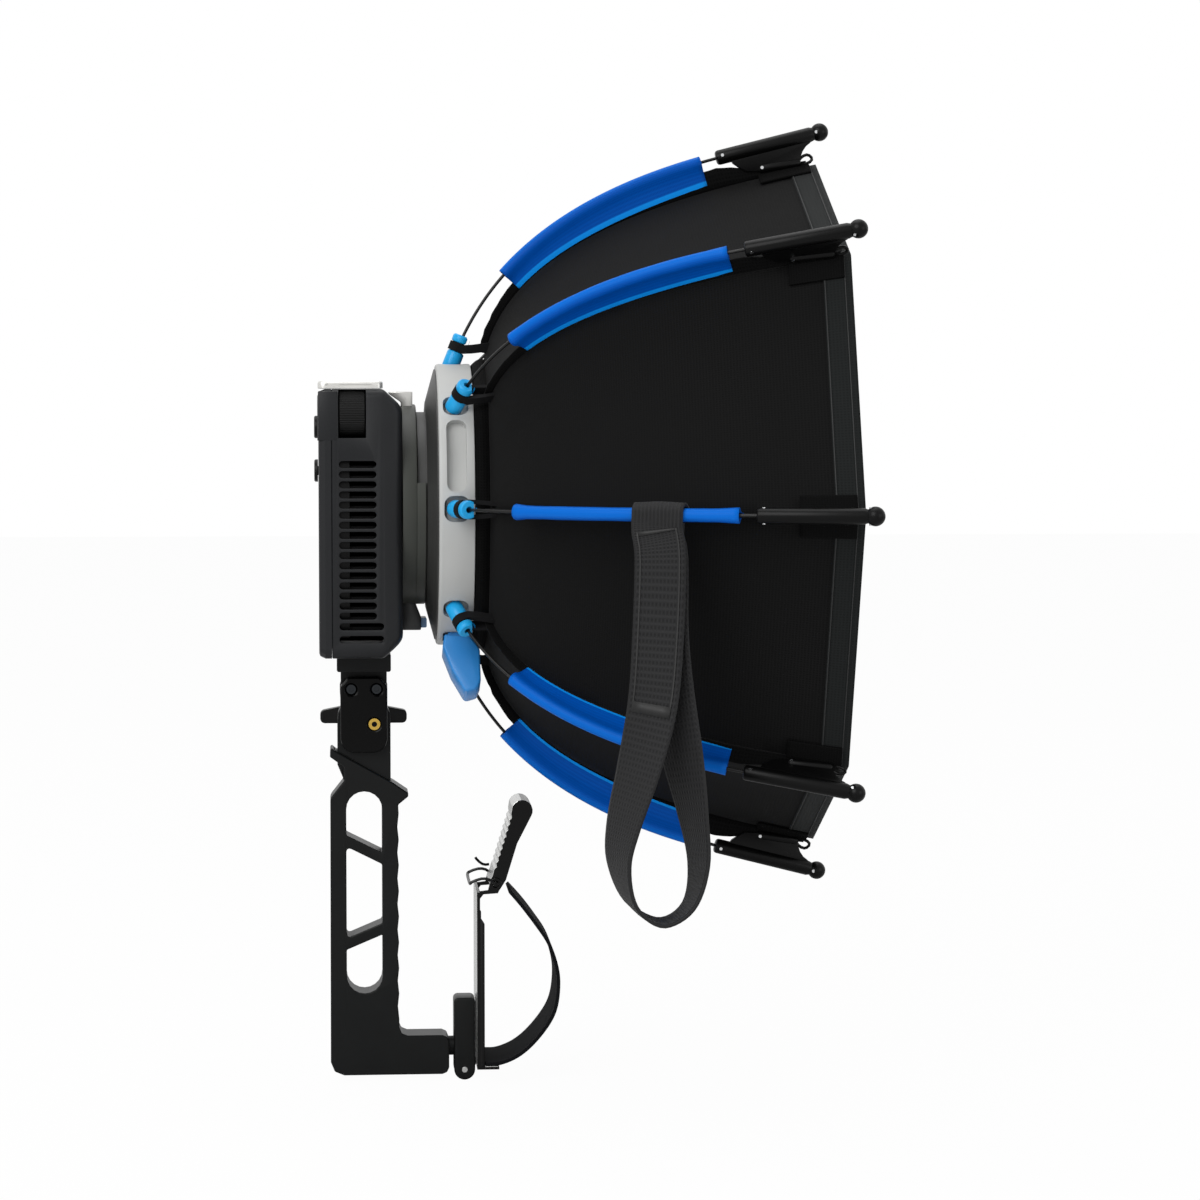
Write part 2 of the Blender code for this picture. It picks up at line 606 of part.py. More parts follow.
def rear_cover(pivot):
    """Shallow rear tray with knob shafts' holes, a screen recess and the fan boss."""
    split = BODY_SPLIT_X - CLEARANCE
    back = BODY_REAR_X + REAR_STEP
    floor = back + WALL
    rings = [
        body_ring(floor, WALL + 0.001, WALL + 0.001, BODY_CORNER - WALL),
        body_ring(split, WALL, WALL, BODY_CORNER - WALL),
        body_ring(split, 0.0, 0.0, BODY_CORNER),
        body_ring(BODY_REAR_X + 0.0032, 0.0, 0.0, BODY_CORNER),
        body_ring(BODY_REAR_X + 0.0009, 0.0010, 0.0010, BODY_CORNER),
        body_ring(BODY_REAR_X, 0.0030, 0.0030, BODY_CORNER),
    ]
    cover = solid("rear_cover", loft(rings), BODY_PAINT, pivot)
    join(cover, turned((floor - 0.001, 0.0, FAN_Z), (1, 0, 0), ((0.0, 0.0060), (0.0029, 0.0060)), 16))
    stub = 0.0020 + RUNNING
    cut(cover, turned((back + 0.0012, 0.0, FAN_Z), (1, 0, 0), ((0.0, stub), (0.008, stub)), 12))
    for drop in KNOB_DROPS:
        shaft = 0.0020 + CLEARANCE
        cut(cover, turned((BODY_REAR_X - 0.002, REAR_KNOB_Y, BODY_TOP_Z - drop), (1, 0, 0),
                          ((0.0, shaft), (0.008, shaft)), 12))
    wide = BODY_HALF_DEPTH + 0.002
    below = [Vector((-wide, BODY_BOTTOM_Z - 0.002)), Vector((wide, BODY_BOTTOM_Z - 0.002)),
             Vector((wide, BODY_TOP_Z - REAR_BLOCK_HEIGHT)), Vector((-wide, BODY_TOP_Z - REAR_BLOCK_HEIGHT))]
    cut(cover, face_prism(below, BODY_REAR_X - 0.002, back))
    left, top = 0.002, BODY_TOP_Z - SCREEN_DROP
    right, low, corner = left + SCREEN_WIDTH, top - SCREEN_HEIGHT, 0.002
    screen = rounded([(left, low, corner), (right, low, corner), (right, top, corner), (left, top, corner)], 2)
    cut(cover, face_prism(screen, BODY_REAR_X - 0.001, back + SCREEN_DEPTH))


def lamp_details(pivot):
    """Top plate, knurled dial, rear knobs, fan, heat sink and light-emitting board."""
    low = BODY_TOP_Z + CLEARANCE
    depth = BODY_HALF_DEPTH - TOP_PLATE_MARGIN
    plate_outline = [(TOP_PLATE_REAR_X, -depth, 0.003), (TOP_PLATE_FRONT_X, -depth, 0.003),
                     (TOP_PLATE_FRONT_X, depth, 0.003), (TOP_PLATE_REAR_X, depth, 0.003)]
    outline = rounded(plate_outline, 3)
    shrunk = [Vector((u * 0.92 - 0.0004, v * 0.98)) for u, v in outline]
    top = low + TOP_PLATE_HEIGHT
    plate = solid("top_plate", loft([[Vector((u, v, low)) for u, v in outline],
                                     [Vector((u, v, top - 0.0009)) for u, v in outline],
                                     [Vector((u, v, top)) for u, v in shrunk]]), SILVER, pivot)
    groove = rounded([(-0.0098, -0.0100, 0.0014), (0.0045, -0.0100, 0.0014),
                      (0.0045, 0.0100, 0.0014), (-0.0098, 0.0100, 0.0014)], 3)
    cut(plate, loft([[Vector((u, v, z)) for u, v in groove] for z in (top - 0.0010, top + 0.001)]))

    dial_y, dial_z = dial_centre()
    knurl = []
    for index in range(DIAL_RIDGES * 2):
        radius = DIAL_RADIUS - (0.0004 if index % 2 else 0.0)
        angle = math.tau * (index + 0.5) / (DIAL_RIDGES * 2)
        knurl.append(Vector((dial_y + radius * math.cos(angle), dial_z + radius * math.sin(angle))))
    solid("control_dial", face_prism(knurl, DIAL_REAR_X, DIAL_FRONT_X), RUBBER, pivot,
          (0.0, dial_y, dial_z), 20.0)

    names = ("rear_knob_upper", "rear_knob_lower")
    faces = (BODY_REAR_X, BODY_REAR_X + REAR_STEP)
    for name, drop, face in zip(names, KNOB_DROPS, faces):
        z = BODY_TOP_Z - drop
        back = BODY_REAR_X - CLEARANCE - REAR_KNOB_HEIGHT
        head = face - CLEARANCE - back
        profile = ((0.0, REAR_KNOB_RADIUS - 0.0006), (0.0005, REAR_KNOB_RADIUS),
                   (head, REAR_KNOB_RADIUS), (head, 0.0020), (head + 0.0040, 0.0020))
        solid(name, turned((back, REAR_KNOB_Y, z), (1, 0, 0), profile, 20), BLACK_PLASTIC, pivot,
              (0.0, REAR_KNOB_Y, z))

    boss_top = BODY_REAR_X + REAR_STEP + WALL + 0.0019
    fan_rear = boss_top + RUNNING
    rings = []
    for x, twist in ((fan_rear, 0.0), (fan_rear + FAN_DEPTH, math.radians(16.0))):
        ring = []
        for blade in range(FAN_BLADES):
            start = math.tau * blade / FAN_BLADES + twist
            for radius, angle in ((FAN_HUB_RADIUS, -0.22), (FAN_RADIUS, -0.05), (FAN_RADIUS, 0.34),
                                  (FAN_HUB_RADIUS, 0.22)):
                turn = start + angle
                ring.append(Vector((x, radius * math.cos(turn), FAN_Z + radius * math.sin(turn))))
        rings.append(ring)
    rotor = solid("fan_rotor", loft(rings), BLACK_PLASTIC, pivot, (0.0, 0.0, FAN_Z))
    join(rotor, turned((BODY_REAR_X + REAR_STEP + 0.0016, 0.0, FAN_Z), (1, 0, 0), ((0.0, 0.0020), (0.0070, 0.0020)), 12))

    base_front = BODY_FRONT_X - WALL - CLEARANCE
    base_rear = base_front - 0.0030
    fin_rear = fan_rear + FAN_DEPTH + 0.0012
    fin_low = BODY_BOTTOM_Z + SINK_FOOT
    fin_count = 1 + int((BODY_TOP_Z - SINK_HEAD - fin_low) / SLOT_PITCH)
    comb = [Vector((base_front, fin_low + (fin_count - 1) * SLOT_PITCH + FIN_THICKNESS)),
            Vector((base_front, fin_low))]
    for index in range(fin_count):
        low_z = fin_low + SLOT_PITCH * index
        high_z = low_z + FIN_THICKNESS
        if index:
            comb.append(Vector((base_rear, low_z)))
        comb += [Vector((fin_rear, low_z)), Vector((fin_rear, high_z))]
        if index < fin_count - 1:
            comb.append(Vector((base_rear, high_z)))
    sink_half = BODY_HALF_DEPTH - WALL - SINK_SIDE
    solid("heat_sink", side_prism(comb, -sink_half, sink_half), ALUMINIUM, pivot)

    board_rear = base_front + CLEARANCE
    profile = ((0.0, LED_RADIUS), (0.0040, LED_RADIUS), (0.0040, 0.0210), (0.0022, 0.0140), (0.0034, 0.0120),
               (0.0034, 0.0100))
    solid("led_board", turned((board_rear, 0.0, AXIS_Z), (1, 0, 0), profile, 28), LED_YELLOW, pivot)


# ---------------------------------------------------------------- lamp mount
def mount_ring(pivot):
    """Bayonet ring: a full ring, a raised upper sector, a top boss and the lock housing below."""
    rear = BODY_FRONT_X + CLEARANCE
    bore = MOUNT_RADIUS - MOUNT_RING_WIDTH
    body = ((rear, bore), (rear, MOUNT_RADIUS), (MOUNT_FRONT_X - 0.0005, MOUNT_RADIUS),
            (MOUNT_FRONT_X, MOUNT_RADIUS - 0.0005), (MOUNT_FRONT_X, bore))
    ring = solid("mount_ring", washer(body, 40), GREY_METAL, pivot)
    lip_inner = HUB_COLLAR_RADIUS + RUNNING
    lip = ((MOUNT_FRONT_X - 0.001, lip_inner), (MOUNT_FRONT_X - 0.001, MOUNT_RADIUS - CLEARANCE),
           (MOUNT_LIP_X, MOUNT_RADIUS - CLEARANCE), (MOUNT_LIP_X, lip_inner))
    join(ring, washer(lip, 20, 14.0, 152.0))
    foot_z = AXIS_Z + MOUNT_RADIUS - 0.0080
    boss = [Vector((rear, foot_z)), Vector((0.0219, foot_z)), Vector((0.0219, BODY_TOP_Z - 0.0011)),
            Vector((0.0116, BODY_TOP_Z - 0.0011)), Vector((0.0116, BODY_TOP_Z - 0.0020)),
            Vector((rear, BODY_TOP_Z - 0.0058))]
    join(ring, side_prism(boss, -BOSS_HALF_WIDTH, BOSS_HALF_WIDTH))
    rim_z = AXIS_Z - MOUNT_RADIUS
    housing = [Vector((rear, rim_z + 0.0032)), Vector((0.0222, rim_z + 0.0032)), Vector((0.0254, rim_z - 0.0050)),
               Vector((0.0254, rim_z - 0.0108)), Vector((rear, rim_z - 0.0108))]
    join(ring, side_prism(housing, -HOUSING_HALF_WIDTH, HOUSING_HALF_WIDTH))
    half = TAB_WIDTH / 2.0 + CLEARANCE
    low, high = tab_heights()
    slot = [Vector((TAB_SLOT_X, high)), Vector((TAB_SLOT_X, low)), Vector((0.0290, low)), Vector((0.0290, high))]
    cut(ring, side_prism(slot, -half, half))


def tab_heights():
    """Floor and ceiling of the lock tab's slot, under the mount ring."""
    rim_z = AXIS_Z - MOUNT_RADIUS
    return rim_z - 0.0102, rim_z - 0.0053


def lock_tab(pivot):
    """Sprung tab that slides back into the lock housing."""
    low, high = tab_heights()
    low += CLEARANCE
    high -= CLEARANCE
    rear = TAB_SLOT_X + TAB_TRAVEL + CLEARANCE
    front = MOUNT_LIP_X + 0.0008
    outline = rounded([(rear, low, 0.0), (front, low, 0.0006), (front, high, 0.0006), (rear, high, 0.0)], 2)
    solid("lock_tab", side_prism(outline, -TAB_WIDTH / 2.0, TAB_WIDTH / 2.0), BLUE_GREY, pivot)


# ---------------------------------------------------------------- softbox hub
def radial_box(angle, x_range, half_width, r_range):
    """Box standing on the hub band at an angle counted from the near side upwards."""
    outward = Vector((0.0, -math.cos(angle), math.sin(angle)))
    across = Vector((0.0, math.sin(angle), math.cos(angle)))
    corner = 0.0018
    outline = rounded([(x_range[0], -half_width, corner), (x_range[1], -half_width, corner),
                       (x_range[1], half_width, corner), (x_range[0], half_width, corner)], 2)
    rings = []
    for radius in r_range:
        centre = Vector((0.0, 0.0, AXIS_Z)) + outward * radius
        rings.append([centre + Vector((u, 0.0, 0.0)) + across * v for u, v in outline])
    return loft(rings)


def hub_ring(pivot):
    """Speed ring of the softbox: collar, flaring flange and a band with pockets for the pegs."""
    bore = HUB_COLLAR_RADIUS - HUB_COLLAR_WALL
    inner = HUB_RADIUS - HUB_BAND_WALL
    step_x = MOUNT_LIP_X + RUNNING
    inner_x = step_x + 0.0034
    profile = ((MOUNT_FRONT_X + CLEARANCE, bore), (MOUNT_FRONT_X + CLEARANCE, HUB_COLLAR_RADIUS),
               (step_x, HUB_COLLAR_RADIUS), (step_x, MOUNT_RADIUS + 0.0017), (HUB_BAND_REAR_X, HUB_RADIUS - 0.0008),
               (HUB_BAND_REAR_X + 0.0008, HUB_RADIUS), (HUB_FRONT_X - 0.0006, HUB_RADIUS),
               (HUB_FRONT_X, HUB_RADIUS - 0.0006), (HUB_FRONT_X, inner),
               (HUB_BAND_REAR_X + 0.0039, inner), (inner_x, MOUNT_RADIUS - 0.0005), (inner_x, bore))
    hub = solid("hub_ring", washer(profile, 40), HUB_GREY, pivot)
    deep = (HUB_RADIUS - POCKET_DEPTH, HUB_RADIUS + 0.004)
    for index in range(RIB_COUNT):
        angle = math.tau * index / RIB_COUNT
        cut(hub, radial_box(angle, (0.0342, 0.0452), 0.0056, deep))
    cut(hub, radial_box(PADDLE_ANGLE, (PADDLE_PIVOT_X - 0.0050, PADDLE_PIVOT_X + 0.0055),
                        PADDLE_WIDTH / 2.0 - 0.0016, deep))
    shallow = (HUB_RADIUS - WINDOW_DEPTH, HUB_RADIUS + 0.004)
    for angle in (math.radians(22.0), math.radians(202.0)):
        cut(hub, radial_box(angle, (0.0354, 0.0436), 0.0165, shallow))


def release_paddle(pivot):
    """Blue lever below the hub; its root sits in a pocket between two pegs."""
    outward = Vector((0.0, -math.cos(PADDLE_ANGLE), math.sin(PADDLE_ANGLE)))
    across = Vector((0.0, math.sin(PADDLE_ANGLE), math.cos(PADDLE_ANGLE)))
    centre = Vector((0.0, 0.0, AXIS_Z))

    def section(outline, half):
        return loft([[centre + Vector((x, 0.0, 0.0)) + outward * r + across * side for x, r in outline]
                     for side in (-half, half)])

    profile = ((0.0350, 0.0009, 0.0010), (0.0460, 0.0016, 0.0015), (0.0504, 0.0078, 0.003),
               (0.0506, 0.0222, 0.003), (0.0490, 0.0261, 0.002), (0.0438, 0.0276, 0.002),
               (0.0380, 0.0171, 0.004), (0.0342, 0.0066, 0.002))
    blade = rounded([(x, HUB_RADIUS + out, corner) for x, out, corner in profile], 3)
    paddle = solid("release_paddle", section(blade, PADDLE_WIDTH / 2.0), BLUE_PLASTIC, pivot,
                   centre + Vector((PADDLE_PIVOT_X, 0.0, 0.0)) + outward * (HUB_RADIUS - 0.0014))
    soften(paddle, 0.0016, 2, 50.0)
    root_low = HUB_RADIUS - POCKET_DEPTH + 0.0006
    root_high = HUB_RADIUS + 0.0026
    root = [(PADDLE_PIVOT_X - PADDLE_ROOT / 2.0, root_low), (PADDLE_PIVOT_X + PADDLE_ROOT / 2.0, root_low),
            (PADDLE_PIVOT_X + PADDLE_ROOT / 2.0, root_high), (PADDLE_PIVOT_X - PADDLE_ROOT / 2.0, root_high)]
    join(paddle, section(root, PADDLE_WIDTH / 2.0 - 0.0022))


# ---------------------------------------------------------------- ribs
def peg(pivot):
    """Bobbin that holds one rod; the elastic of the dome loops round its waist."""
    lean = Vector((math.sin(PEG_LEAN), 0.0, math.cos(PEG_LEAN)))
    base = Vector((PEG_BASE[0], 0.0, PEG_BASE[1]))
    bore = ROD_RADIUS + CLEARANCE
    end = PEG_LENGTH
    profile = ((end - 0.0045, bore), (end, bore), (end, PEG_RADIUS - 0.0002), (end - 0.0006, PEG_RADIUS + 0.0002),
               (end - 0.0032, PEG_RADIUS + 0.0002), (end - 0.0040, PEG_WAIST), (end - 0.0064, PEG_WAIST),
               (end - 0.0072, PEG_RADIUS), (0.0004, PEG_RADIUS), (0.0, PEG_RADIUS - 0.0004))
    made = solid("peg", turned(base, lean, profile, 10), BLUE_PLASTIC)
    round_the_axis("peg", baked(made), (0.0, 0.0), pivot)


def rod_point(share, outward=0.0, sideways=0.0):
    """Point beside the rod, in the frame of the top rib."""
    point = bezier(ROD_CURVE, share) + bezier_normal(ROD_CURVE, share) * outward
    return Vector((point.x, sideways, point.y))


def sleeve_shares():
    """Stations along the rod that its sleeve spans."""
    step = (SLEEVE_END - SLEEVE_START) / (SLEEVE_STATIONS - 1)
    return [SLEEVE_START + step * i for i in range(SLEEVE_STATIONS)]


def rod(pivot):
    """Spring wire from the peg's bore to the lever's knuckle."""
    rings = []
    for share in [0.0, SLEEVE_START * 0.2, SLEEVE_START * 0.55] + sleeve_shares() + [1.0]:
        ring = []
        for corner in range(6):
            angle = math.tau * corner / 6
            ring.append(rod_point(share, ROD_RADIUS * math.cos(angle), ROD_RADIUS * math.sin(angle)))
        rings.append(ring)
    made = solid("rod", loft(rings), BLACK_WIRE, None, (0.0, 0.0, 0.0), 61.0)
    round_the_axis("rod", baked(made), (0.0, 0.0), pivot)


def dome_share_under(share):
    """Share of the dome's corner curve that lies straight under a point of the rod."""
    point = bezier(ROD_CURVE, share)
    normal = bezier_normal(ROD_CURVE, share)
    best = min(range(201), key=lambda i: abs((bezier(DOME_CURVE, i / 200) - point).cross(normal)))
    return best / 200


def sleeve_section(share):
    """Outer outline and bore of the fabric fin that ties the dome to the rod."""
    rod_at = bezier(ROD_CURVE, share)
    seam = bezier(DOME_CURVE, dome_share_under(share))
    reach = (seam - rod_at).length - CLEARANCE - 0.0005
    half = SLEEVE_HALF_WIDTH
    outer = [(-reach, -SLEEVE_WEB), (-reach, SLEEVE_WEB), (-0.0036, SLEEVE_WEB), (-0.0010, half),
             (0.0014, half * 0.8), (0.0024, 0.0), (0.0014, -half * 0.8), (-0.0010, -half),
             (-0.0036, -SLEEVE_WEB)]
    bore = ROD_RADIUS + CLEARANCE
    inner = [(bore * math.cos(math.tau * i / 6), bore * math.sin(math.tau * i / 6)) for i in range(6)]
    return outer, inner


def sleeve(pivot):
    """Stitched sleeve round a rod: a fin with a bore, its inner edge on the dome's seam."""
    outer_rings = []
    inner_rings = []
    for share in sleeve_shares():
        outer, inner = sleeve_section(share)
        outer_rings.append([rod_point(share, *point) for point in outer])
        inner_rings.append([rod_point(share, *point) for point in inner])
    made = solid("sleeve", loft(outer_rings), BLUE_FABRIC, None, (0.0, 0.0, 0.0), 50.0)
    first = [point + (inner_rings[0][i] - inner_rings[1][i]) * 0.2 for i, point in enumerate(inner_rings[0])]
    last = [point + (inner_rings[-1][i] - inner_rings[-2][i]) * 0.2 for i, point in enumerate(inner_rings[-1])]
    cut(made, loft([first] + inner_rings + [last]))
    round_the_axis("sleeve", baked(made), (0.0, 0.0), pivot)


def rim_lever(pivot):
    """Tensioning lever: knuckle, tube, ball end, web and the bar that lies in the dome's pocket."""
    along = Vector((math.cos(LEVER_SLOPE), 0.0, math.sin(LEVER_SLOPE)))
    inward = Vector((math.sin(LEVER_SLOPE), 0.0, -math.cos(LEVER_SLOPE)))
    hinge = Vector((LEVER_HINGE[0], 0.0, LEVER_HINGE[1]))
    knuckle = 0.0024
    tube = LEVER_TUBE_RADIUS
    ball = LEVER_BALL_RADIUS
    end = LEVER_LENGTH
    profile = [(-knuckle * math.cos(a), knuckle * math.sin(a)) for a in (0.4, 1.0)]
    profile += [(0.0012, tube), (end - 0.0088, tube + 0.0002), (end - 0.0068, 0.0022), (end - 0.0042, 0.0022)]
    profile += [(end + ball * math.sin(a), ball * math.cos(a)) for a in (-0.85, -0.3, 0.3, 0.85, 1.3)]
    made = solid("lever", turned((0.0, 0.0, 0.0), along, profile, 9), BLACK_PLASTIC)
    web = [along * 0.0040 + inward * 0.0015, along * (end - 0.0080) + inward * 0.0015,
           along * 0.0340 + inward * 0.0068, along * 0.0115 + inward * 0.0068]
    join(made, loft([[point + Vector((0.0, y, 0.0)) for point in web] for y in (-0.0014, 0.0014)]))
    bar_slope = Matrix.Rotation(math.radians(4.0), 3, "Y") @ along
    bar_base = along * 0.0125 + inward * 0.0072
    join(made, turned(bar_base, bar_slope, ((0.0, 0.0014), (0.0006, 0.0019), (0.0190, 0.0019), (0.0196, 0.0014)), 8))
    data = baked(made)
    round_the_axis("rim_lever", data, (hinge.x, hinge.z), pivot)


# ---------------------------------------------------------------- dome, diffuser, pull strap
def octagon(x, radius, bulge=0.0):
    """Eight corners at the ribs and the middles of the sides, which may bow inwards."""
    ring = []
    for index in range(RIB_COUNT * 2):
        angle = math.tau * index / (RIB_COUNT * 2)
        away = radius if index % 2 == 0 else radius * math.cos(math.pi / RIB_COUNT) - bulge
        ring.append(Vector((x, -away * math.sin(angle), AXIS_Z + away * math.cos(angle))))
    return ring


def dome_radius_at(x):
    """Corner radius of the dome at one x."""
    best = min(range(401), key=lambda i: abs(bezier(DOME_CURVE, i / 400).x - x))
    return bezier(DOME_CURVE, best / 400).y


def dome(pivot):
    """Eight-sided cloth shell between the hub and the rim, and the diffuser inside its rim."""
    shares = [(i / (DOME_STATIONS - 1)) ** 1.15 for i in range(DOME_STATIONS)]
    outside = [octagon((HUB_FRONT_X + CLEARANCE), DOME_BACK_RADIUS)]
    inside = [octagon((HUB_FRONT_X + CLEARANCE) + DOME_THICKNESS, DOME_BACK_RADIUS)]
    for share in shares:
        point = bezier(DOME_CURVE, share)
        normal = bezier_normal(DOME_CURVE, share)
        within = point - normal * DOME_THICKNESS
        outside.append(octagon(point.x, point.y))
        inside.append(octagon(within.x, within.y))
    solid("dome_fabric", loft(outside + inside[::-1], closed=True), BLACK_FABRIC, pivot)
    slack = DOME_THICKNESS * 1.03 + CLEARANCE
    rings = [octagon(x, dome_radius_at(x) - slack) for x in (DIFFUSER_X, DIFFUSER_X + DIFFUSER_THICKNESS)]
    solid("front_diffuser", loft(rings), WHITE_FABRIC, pivot)


def pull_strap(pivot):
    """Webbing folded over the near rib; the fold hangs open and turned a quarter."""
    share = min(range(201), key=lambda i: abs(bezier(ROD_CURVE, i / 200).x - STRAP_X)) / 200
    rod_at = bezier(ROD_CURVE, share)
    normal = bezier_normal(ROD_CURVE, share)
    lean = math.degrees(math.atan2(-normal.x, normal.y))

    def beside(outward, z, turn=-lean):
        point = rod_at + normal * outward
        return Vector((point.x, -point.y, AXIS_Z + z, turn))

    route = [beside(-0.0052, 0.0024), beside(-0.0022, 0.0042), beside(0.0008, 0.0044), beside(0.0031, 0.0024),
             beside(0.0035, -0.0010), beside(0.0036, -0.0060)]
    fold = ((0.000, 0.0046, 0.108, -22), (-0.059, 0.0053, 0.290, -22), (-0.194, 0.0060, 0.460, -28),
            (-0.529, 0.0065, 0.618, -42), (-0.882, 0.0065, 0.752, -57), (-1.000, 0.0058, 0.851, -70),
            (-0.706, 0.0046, 0.951, -82), (0.018, 0.0034, 1.000, -90), (0.700, 0.0024, 0.960, -85),
            (0.941, 0.0018, 0.857, -74), (0.794, 0.0014, 0.733, -62), (0.524, 0.0012, 0.585, -44),
            (0.247, 0.0012, 0.439, -30), (0.082, 0.0016, 0.292, -23), (0.059, 0.0021, 0.109, -22))
    for swing, out, drop, turn in fold:
        route.append(Vector((STRAP_X + swing * STRAP_SWING, -rod_at.y - out, AXIS_Z - drop * STRAP_DROP, turn)))
    route += [beside(0.0016, -0.0100), beside(0.0016, -0.0030)]
    path = smooth_path(route, 2)
    rings = []
    for index, here in enumerate(path):
        ahead = path[min(index + 1, len(path) - 1)].to_3d()
        behind = path[max(index - 1, 0)].to_3d()
        along = (ahead - behind).normalized()
        turn = math.radians(here.w)
        across = Vector((math.cos(turn), math.sin(turn), 0.0))
        across = (across - along * across.dot(along)).normalized()
        face = along.cross(across)
        half_width = across * (STRAP_WIDTH / 2.0)
        half_depth = face * (STRAP_THICKNESS / 2.0)
        middle = here.to_3d()
        rings.append([middle - half_width - half_depth, middle + half_width - half_depth,
                      middle + half_width + half_depth, middle - half_width + half_depth])
    solid("pull_strap", loft(rings), WEBBING, pivot, (0.0, 0.0, 0.0), 50.0)


# ---------------------------------------------------------------- strap clamp
def clamp_block(pivot):
    """Swivel block on the foot's spindle; its fork carries the plate's pin."""
    half = BLOCK_DEPTH / 2.0
    radius = BLOCK_FRONT_X - PIN_X - 0.0001
    outline = arc(PIN_X, PIN_Z, radius, 180.0, 360.0, 10)
    outline += rounded([(BLOCK_FRONT_X - 0.0001, BLOCK_TOP_Z, 0.002), (BLOCK_REAR_X - 0.0008, BLOCK_TOP_Z, 0.002),
                        (BLOCK_REAR_X - 0.0008, SPINDLE_Z + 0.0076, 0.002)], 3)
    block = solid("clamp_block", side_prism(outline, -half, half), BLACK_METAL, pivot, (0.0, 0.0, SPINDLE_Z))
    soften(block, 0.0008, 1, 60.0)
    spindle = ((0.0, SPINDLE_RADIUS - 0.0005), (0.0005, SPINDLE_RADIUS),
               (SPINDLE_DEPTH + 0.006, SPINDLE_RADIUS))
    join(block, turned((FOOT_FRONT_X - SPINDLE_DEPTH + 0.0008, 0.0, SPINDLE_Z), (1, 0, 0), spindle, 16))
    gap = KNUCKLE_DEPTH / 2.0 + RUNNING
    fork = [Vector((PIN_X - 0.015, PIN_Z - 0.015)), Vector((PIN_X + 0.015, PIN_Z - 0.015)),
            Vector((PIN_X + 0.015, PIN_Z + 0.0052)), Vector((PIN_X - 0.015, PIN_Z + 0.0052))]
    cut(block, side_prism(fork, -gap, gap))
    pin = ((0.0, PIN_RADIUS - 0.0003), (0.0003, PIN_RADIUS), (BLOCK_DEPTH + 0.0003, PIN_RADIUS),
           (BLOCK_DEPTH + 0.0006, PIN_RADIUS - 0.0003))
    join(block, turned((PIN_X, -half - 0.0003, PIN_Z), (0, 1, 0), pin, 12))


def clamp_plate(pivot):
    """Channel plate: back, two side rails, a bottom lip, ears for the lever and the hinge knuckle."""
    back = BLOCK_FRONT_X + CLEARANCE
    front = back + PLATE_THICKNESS
    bottom = PLATE_BOTTOM_Z
    wide = PLATE_HALF_WIDTH
    rail = back + PLATE_RAIL
    lip = [Vector((back, bottom)), Vector((back + LIP_LENGTH, bottom)), Vector((back + LIP_LENGTH, bottom + 0.0012)),
           Vector((front, bottom + 0.0012)), Vector((front, PLATE_TOP_Z)), Vector((back, PLATE_TOP_Z))]
    plate = solid("clamp_plate", side_prism(lip, -wide, wide), BLACK_METAL, pivot, (PIN_X, 0.0, PIN_Z))
    for side in (-1.0, 1.0):
        rails = [Vector((back + 0.0002, bottom + 0.0002)), Vector((rail, bottom + 0.0002)),
                 Vector((rail, LATCH_Z - 0.0170)), Vector((back + 0.0002, LATCH_Z - 0.0120))]
        low, high = sorted((side * (wide - 0.0012), side * (wide - 0.0001)))
        join(plate, side_prism(rails, low, high))
        inner = LATCH_HALF_WIDTH + RUNNING
        low, high = sorted((side * inner, side * (inner + EAR_THICKNESS)))
        ear = [Vector((back + 0.0001, LATCH_Z - 0.0070)), Vector((front, LATCH_Z - 0.0066)),
               Vector((LATCH_X - 0.0055, LATCH_Z - 0.0044)), Vector((LATCH_X + 0.0009, LATCH_Z - 0.0040))]
        ear += arc(LATCH_X, LATCH_Z, 0.0028, -50.0, 170.0, 8)
        ear += [Vector((LATCH_X - 0.0035, LATCH_Z - 0.0026)), Vector((back + 0.0001, LATCH_Z - 0.0032))]
        join(plate, side_prism(ear, low, high))
    knuckle = arc(PIN_X, PIN_Z, KNUCKLE_RADIUS, 60.0, 300.0, 12)
    knuckle += [Vector((back + 0.0006, PIN_Z + 0.0028)), Vector((back + 0.0006, PIN_Z + 0.0034))]
    join(plate, side_prism(knuckle, -KNUCKLE_DEPTH / 2.0, KNUCKLE_DEPTH / 2.0))
    bore = PIN_RADIUS + RUNNING
    cut(plate, turned((PIN_X, -0.02, PIN_Z), (0, 1, 0), ((0.0, bore), (0.04, bore)), 12))
    latch_bore = LATCH_PIN_RADIUS + RUNNING
    cut(plate, turned((LATCH_X, -0.03, LATCH_Z), (0, 1, 0), ((0.0, latch_bore), (0.06, latch_bore)), 12))


def clamp_belt(pivot):
    """Rubber belt from the lip, round the pole space, to the lever's foot."""
    bow = ((0.066, 0.0), (0.255, 0.0039), (0.473, 0.0446), (0.673, 0.1193), (0.871, 0.2333), (0.9685, 0.3355),
           (1.0, 0.4705), (0.9685, 0.5819), (0.871, 0.7064), (0.722, 0.8113), (0.550, 0.9161), (0.3925, 1.0))
    face = BLOCK_FRONT_X + CLEARANCE + PLATE_THICKNESS
    low = PLATE_BOTTOM_Z + 0.0023
    rise = LATCH_Z - 0.0036 - low
    path = smooth_path([Vector((face + out * BELT_REACH, low + up * rise)) for out, up in bow], 2)
    rings = []
    for index, here in enumerate(path):
        along = (path[min(index + 1, len(path) - 1)] - path[max(index - 1, 0)]).normalized()
        across = Vector((-along.y, along.x)) * (BELT_THICKNESS / 2.0)
        inner, outer = here + across, here - across
        rings.append([Vector((inner.x, -BELT_HALF_WIDTH, inner.y)), Vector((outer.x, -BELT_HALF_WIDTH, outer.y)),
                      Vector((outer.x, BELT_HALF_WIDTH, outer.y)), Vector((inner.x, BELT_HALF_WIDTH, inner.y))])
    solid("clamp_belt", loft(rings), RUBBER, pivot, (PIN_X, 0.0, PIN_Z), 50.0)


